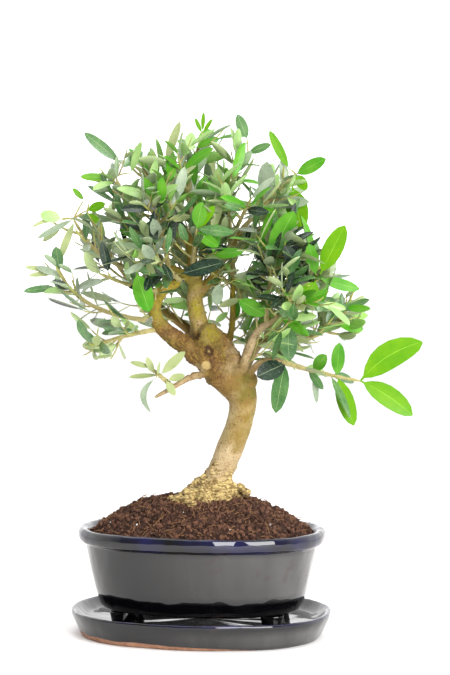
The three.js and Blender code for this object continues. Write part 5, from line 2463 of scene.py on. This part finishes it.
@dataclass
class Lump:
    """A rough lump: twelve corners, each pushed in or out, under twenty faces."""

    radius: float = 1.9
    edge: float = 2.1
    uneven: Span = (0.6, 1.15)
    stretch: Span = (0.4, 1.7)

    def __post_init__(self) -> None:
        """Sets out the corners round a ball, with a face over each three that lie nearest each other."""
        golden = (1 + math.sqrt(5)) / 2
        base = [(0, a, b * golden) for a in (-1, 1) for b in (-1, 1)]
        self.corners = np.array([np.roll(point, k) for k in range(3) for point in base], float)
        near = np.linalg.norm(self.corners[:, None] - self.corners, axis=-1) < self.edge
        self.faces: Faces = []
        for a, b, c in combinations(range(len(self.corners)), 3):
            if near[a, b] and near[b, c] and near[a, c]:
                first, second, third = self.corners[[a, b, c]]
                outward = np.cross(second - first, third - first).dot(first) > 0
                self.faces.append((a, b, c) if outward else (a, c, b))

    def points(self, rng: Generator, size: float) -> Array:
        """The corners of one lump.

        Args:
            rng: Random numbers.
            size: Its radius in millimetres.

        Returns:
            The corners round its middle.
        """
        push = rng.uniform(*self.uneven, (len(self.corners), 1)) * size / self.radius
        stretch = rng.uniform(*self.stretch, 3)
        turn = np.linalg.qr(rng.normal(size=(3, 3)))[0]
        return (self.corners * push * stretch) @ (turn * np.sign(np.linalg.det(turn)))


@dataclass
class Soil:
    """The mound of peat in the pot, with its crumbs, fibres and grit."""

    effects: Effects
    section: tuple = (
        (52, 21.3), (65, 57), (63.6, 60.5), (60, 63.6), (55, 67), (46, 72.4), (37, 76.6), (28, 79),
        (16, 80.4), (6, 80.8),
    )
    mound_rings: int = 64
    mound_wobble: float = 1.6
    mound_scale: float = 0.22
    crumbs: int = 8400
    crumb_size: Span = (0.35, 1.5)
    grit: int = 16
    grit_size: Span = (0.4, 0.8)
    lump_lift: Span = (-0.1, 0.6)
    fibres: int = 760
    fibre_length: Span = (3.0, 11.0)
    fibre_radii: Span = (0.24, 0.12)
    fibre_girth: Span = (0.7, 1.5)
    fibre_lift: Span = (-0.2, 0.8)
    fibre_stray: float = 0.8
    fibre_arch: float = 0.6
    fibre_end: Span = (-0.6, 1.2)
    fibre_steps: int = 4
    fibre_sides: int = 4
    seed: int = 4401
    fibre_seed: int = 4408
    reach: float = 64.5
    above: float = 200.0
    crease: float = math.radians(35)

    def mound(self) -> Piece:
        """The mound itself, heaped and uneven."""
        uneven = {"rings": self.mound_rings, "wobble": self.mound_wobble, "wobble_scale": self.mound_scale}
        return OvalWare("soil_mound", self.section, POT_DEPTH_RATIO, **uneven).throw()

    def spots(self, count: int, rng: Generator, tree: BVHTree) -> list[tuple]:
        """Places on the mound's face, each with the face's normal there.

        Args:
            count: How many to look for.
            rng: Random numbers.
            tree: The mound, for dropping points on.

        Returns:
            Pairs of a place in millimetres and a normal.
        """
        found = []
        for _ in range(count):
            angle = rng.uniform(0, FULL_TURN)
            edge = self.reach * float(OvalWare.reach(np.array(angle), POT_DEPTH_RATIO))
            far = edge * math.sqrt(rng.uniform(0, 1))
            bearing = angle + PLANTER_YAW
            above = Vector((far * math.cos(bearing), far * math.sin(bearing), self.above)) * MM
            place, normal, _, _ = tree.ray_cast(above, Vector((0, 0, -1)))
            if place is not None:
                found.append((np.array(place) / MM, np.array(normal)))
        return found

    def scatter(self, name: str, count: int, size: Span, tree: BVHTree, seed: int) -> Piece:
        """Lumps strewn over the mound, half sunk in it.

        Args:
            name: The piece's name.
            count: How many to strew.
            size: The smallest and largest radius in millimetres.
            tree: The mound, for dropping them on.
            seed: The seed of their random numbers.

        Returns:
            The lumps as one piece.
        """
        rng = np.random.default_rng(seed)
        store, lump = MeshStore(), Lump()
        for place, normal in self.spots(count, rng, tree):
            radius = lerp(size, rng.uniform() ** 2)
            points = lump.points(rng, radius) + place
            store.add(points + normal * radius * rng.uniform(*self.lump_lift), lump.faces)
        return store.to_object(name)

    def fibre_piece(self, tree: BVHTree) -> Piece:
        """Short bent fibres lying on the mound.

        Args:
            tree: The mound, for dropping them on.

        Returns:
            The fibres as one piece.
        """
        rng = np.random.default_rng(self.fibre_seed)
        store = MeshStore()
        for place, normal in self.spots(self.fibres, rng, tree):
            heading = unit(np.cross(normal, rng.normal(size=3)))
            length = lerp(self.fibre_length, rng.uniform() ** 2)
            start = place + normal * rng.uniform(*self.fibre_lift)
            arch = rng.normal(size=3) * self.fibre_stray + normal * self.fibre_arch
            end = start + heading * length + normal * rng.uniform(*self.fibre_end)
            path = Bend(start, start + heading * length / 2 + arch, end, self.fibre_radii)
            radii = np.linspace(*self.fibre_radii, self.fibre_steps + 1) * rng.uniform(*self.fibre_girth)
            store.add(*tube(path, self.fibre_sides, self.fibre_steps, radii))
        return store.to_object("soil_fibres")

    def build(self) -> None:
        """Builds the mound and what lies on it and sets them in the frame."""
        mound = self.mound()
        tree = BVHTree.FromObject(mound, bpy.context.evaluated_depsgraph_get())
        half = self.crumbs // 2
        pieces = (
            (mound, PEAT),
            (self.scatter("soil_crumbs_dark", half, self.crumb_size, tree, self.seed), DARK_CRUMBS),
            (self.scatter("soil_crumbs_brown", half, self.crumb_size, tree, self.seed + 1), BROWN_CRUMBS),
            (self.scatter("soil_grit", self.grit, self.grit_size, tree, self.seed + 2), WHITE_GRIT),
            (self.fibre_piece(tree), PEAT_FIBRE),
        )
        for piece, finish in pieces:
            piece.data.materials.append(finish.material(self.effects))
            smooth(piece, self.crease)
            enter(piece, "soil", *(["soil"] if piece is mound else []))


@dataclass(frozen=True)
class Softbox:
    """A square soft light: where it hangs, where it is aimed and its side, in metres, and its power."""

    name: str
    place: Place
    aim: Place
    side: float
    power: float

    def hang(self) -> None:
        """Hangs the light in the scene."""
        data = bpy.data.lights.new(self.name, "AREA")
        data.size = self.side
        data.energy = self.power
        lamp = bpy.data.objects.new(self.name, data)
        lamp.location = self.place
        lamp.rotation_mode = "QUATERNION"
        lamp.rotation_quaternion = (Vector(self.aim) - Vector(self.place)).to_track_quat("-Z", "Y")
        bpy.context.scene.collection.objects.link(lamp)


@dataclass
class Studio:
    """A pale floor, soft light and the camera where the photograph's was."""

    image: tuple[int, int] = (450, 675)
    focal_pixels: float = 2308.5
    horizon: float = 222.0
    camera_place: Place = (12.6, -1350.0, 242.0)
    roll: float = math.radians(0.5)
    film: float = 36.0
    floor_size: float = 12.0
    floor_colour: Colour = (0.9, 0.88, 0.87, 1.0)
    floor_roughness: float = 0.7
    sky_colour: Colour = (1.0, 1.0, 1.0, 1.0)
    sky_turn: Span = (-0.5, 0.3)
    sky_light: Span = (0.3, 1.75)
    lights: tuple[Softbox, ...] = (
        Softbox("key_light", (0.8, -1.4, 0.7), aim=(0, 0, 0.18), side=1.2, power=50.0),
        Softbox("top_light", (-0.1, -0.1, 1.6), aim=(0, 0, 0.2), side=1.2, power=12.0),
    )

    def floor(self) -> None:
        """A plain pale floor."""
        bpy.ops.object.select_all(action="DESELECT")
        bpy.ops.mesh.primitive_plane_add(size=self.floor_size)
        floor = bpy.context.active_object
        floor.name = "studio_floor"
        surface = Surface("pale_floor")
        surface.set(Base_Color=self.floor_colour, Roughness=self.floor_roughness)
        floor.data.materials.append(surface.material)

    def sky(self) -> None:
        """White light from all round, brighter behind the part than in front of it."""
        world = bpy.data.worlds.new("studio_white")
        world.use_nodes = True
        wiring = Wiring(world.node_tree)
        direction = wiring.add("ShaderNodeTexCoord").outputs["Generated"]
        depth = wiring.add("ShaderNodeSeparateXYZ", {0: direction}).outputs["Y"]
        strength = wiring.ramp(depth, *self.sky_turn, *self.sky_light)
        wiring.put(world.node_tree.nodes["Background"], {"Color": self.sky_colour, "Strength": strength})
        bpy.context.scene.world = world

    def camera(self) -> None:
        """The camera at the photograph's angle, distance and field of view."""
        data = bpy.data.cameras.new("camera")
        data.sensor_width = self.film
        data.lens = self.focal_pixels / max(self.image) * self.film
        camera = bpy.data.objects.new("camera", data)
        tilt = math.atan((self.image[1] / 2 - self.horizon) / self.focal_pixels)
        turn = Matrix.Rotation(QUARTER_TURN - tilt, 4, "X") @ Matrix.Rotation(self.roll, 4, "Z")
        camera.matrix_world = Matrix.Translation(Vector(self.camera_place) * MM) @ turn
        bpy.context.scene.collection.objects.link(camera)
        bpy.context.scene.camera = camera

    def build(self) -> None:
        """Sets up floor, light and camera."""
        self.floor()
        self.sky()
        for light in self.lights:
            light.hang()
        self.camera()
        bpy.context.scene.view_settings.view_transform = "Standard"


def enter(piece: Piece, slot: str, *nodes: str) -> None:
    """Sets a finished piece in the frame.

    Args:
        piece: The piece.
        slot: Not used.
        *nodes: The nodes that it stands for, if any.
    """
    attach(piece, BODY)
    if nodes:
        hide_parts(*nodes)
    LOG.info("%s: %d faces", piece.name, len(piece.data.polygons))


def main() -> None:
    """Builds the dressed part in order."""
    logging.basicConfig(level=logging.INFO, format="%(message)s")
    effects = Effects()
    Planter(effects).build()
    Soil(effects).build()
    Wood(effects).build()
    crown = Crown()
    crown.grow()
    Foliage(crown, effects).build()
    sprays = crown.sprays()
    LOG.info("leaves: %d on %d twigs", sum(len(spray.leaves) for spray in sprays), len(sprays))
    Studio().build()


if __name__ == "__main__":
    main()
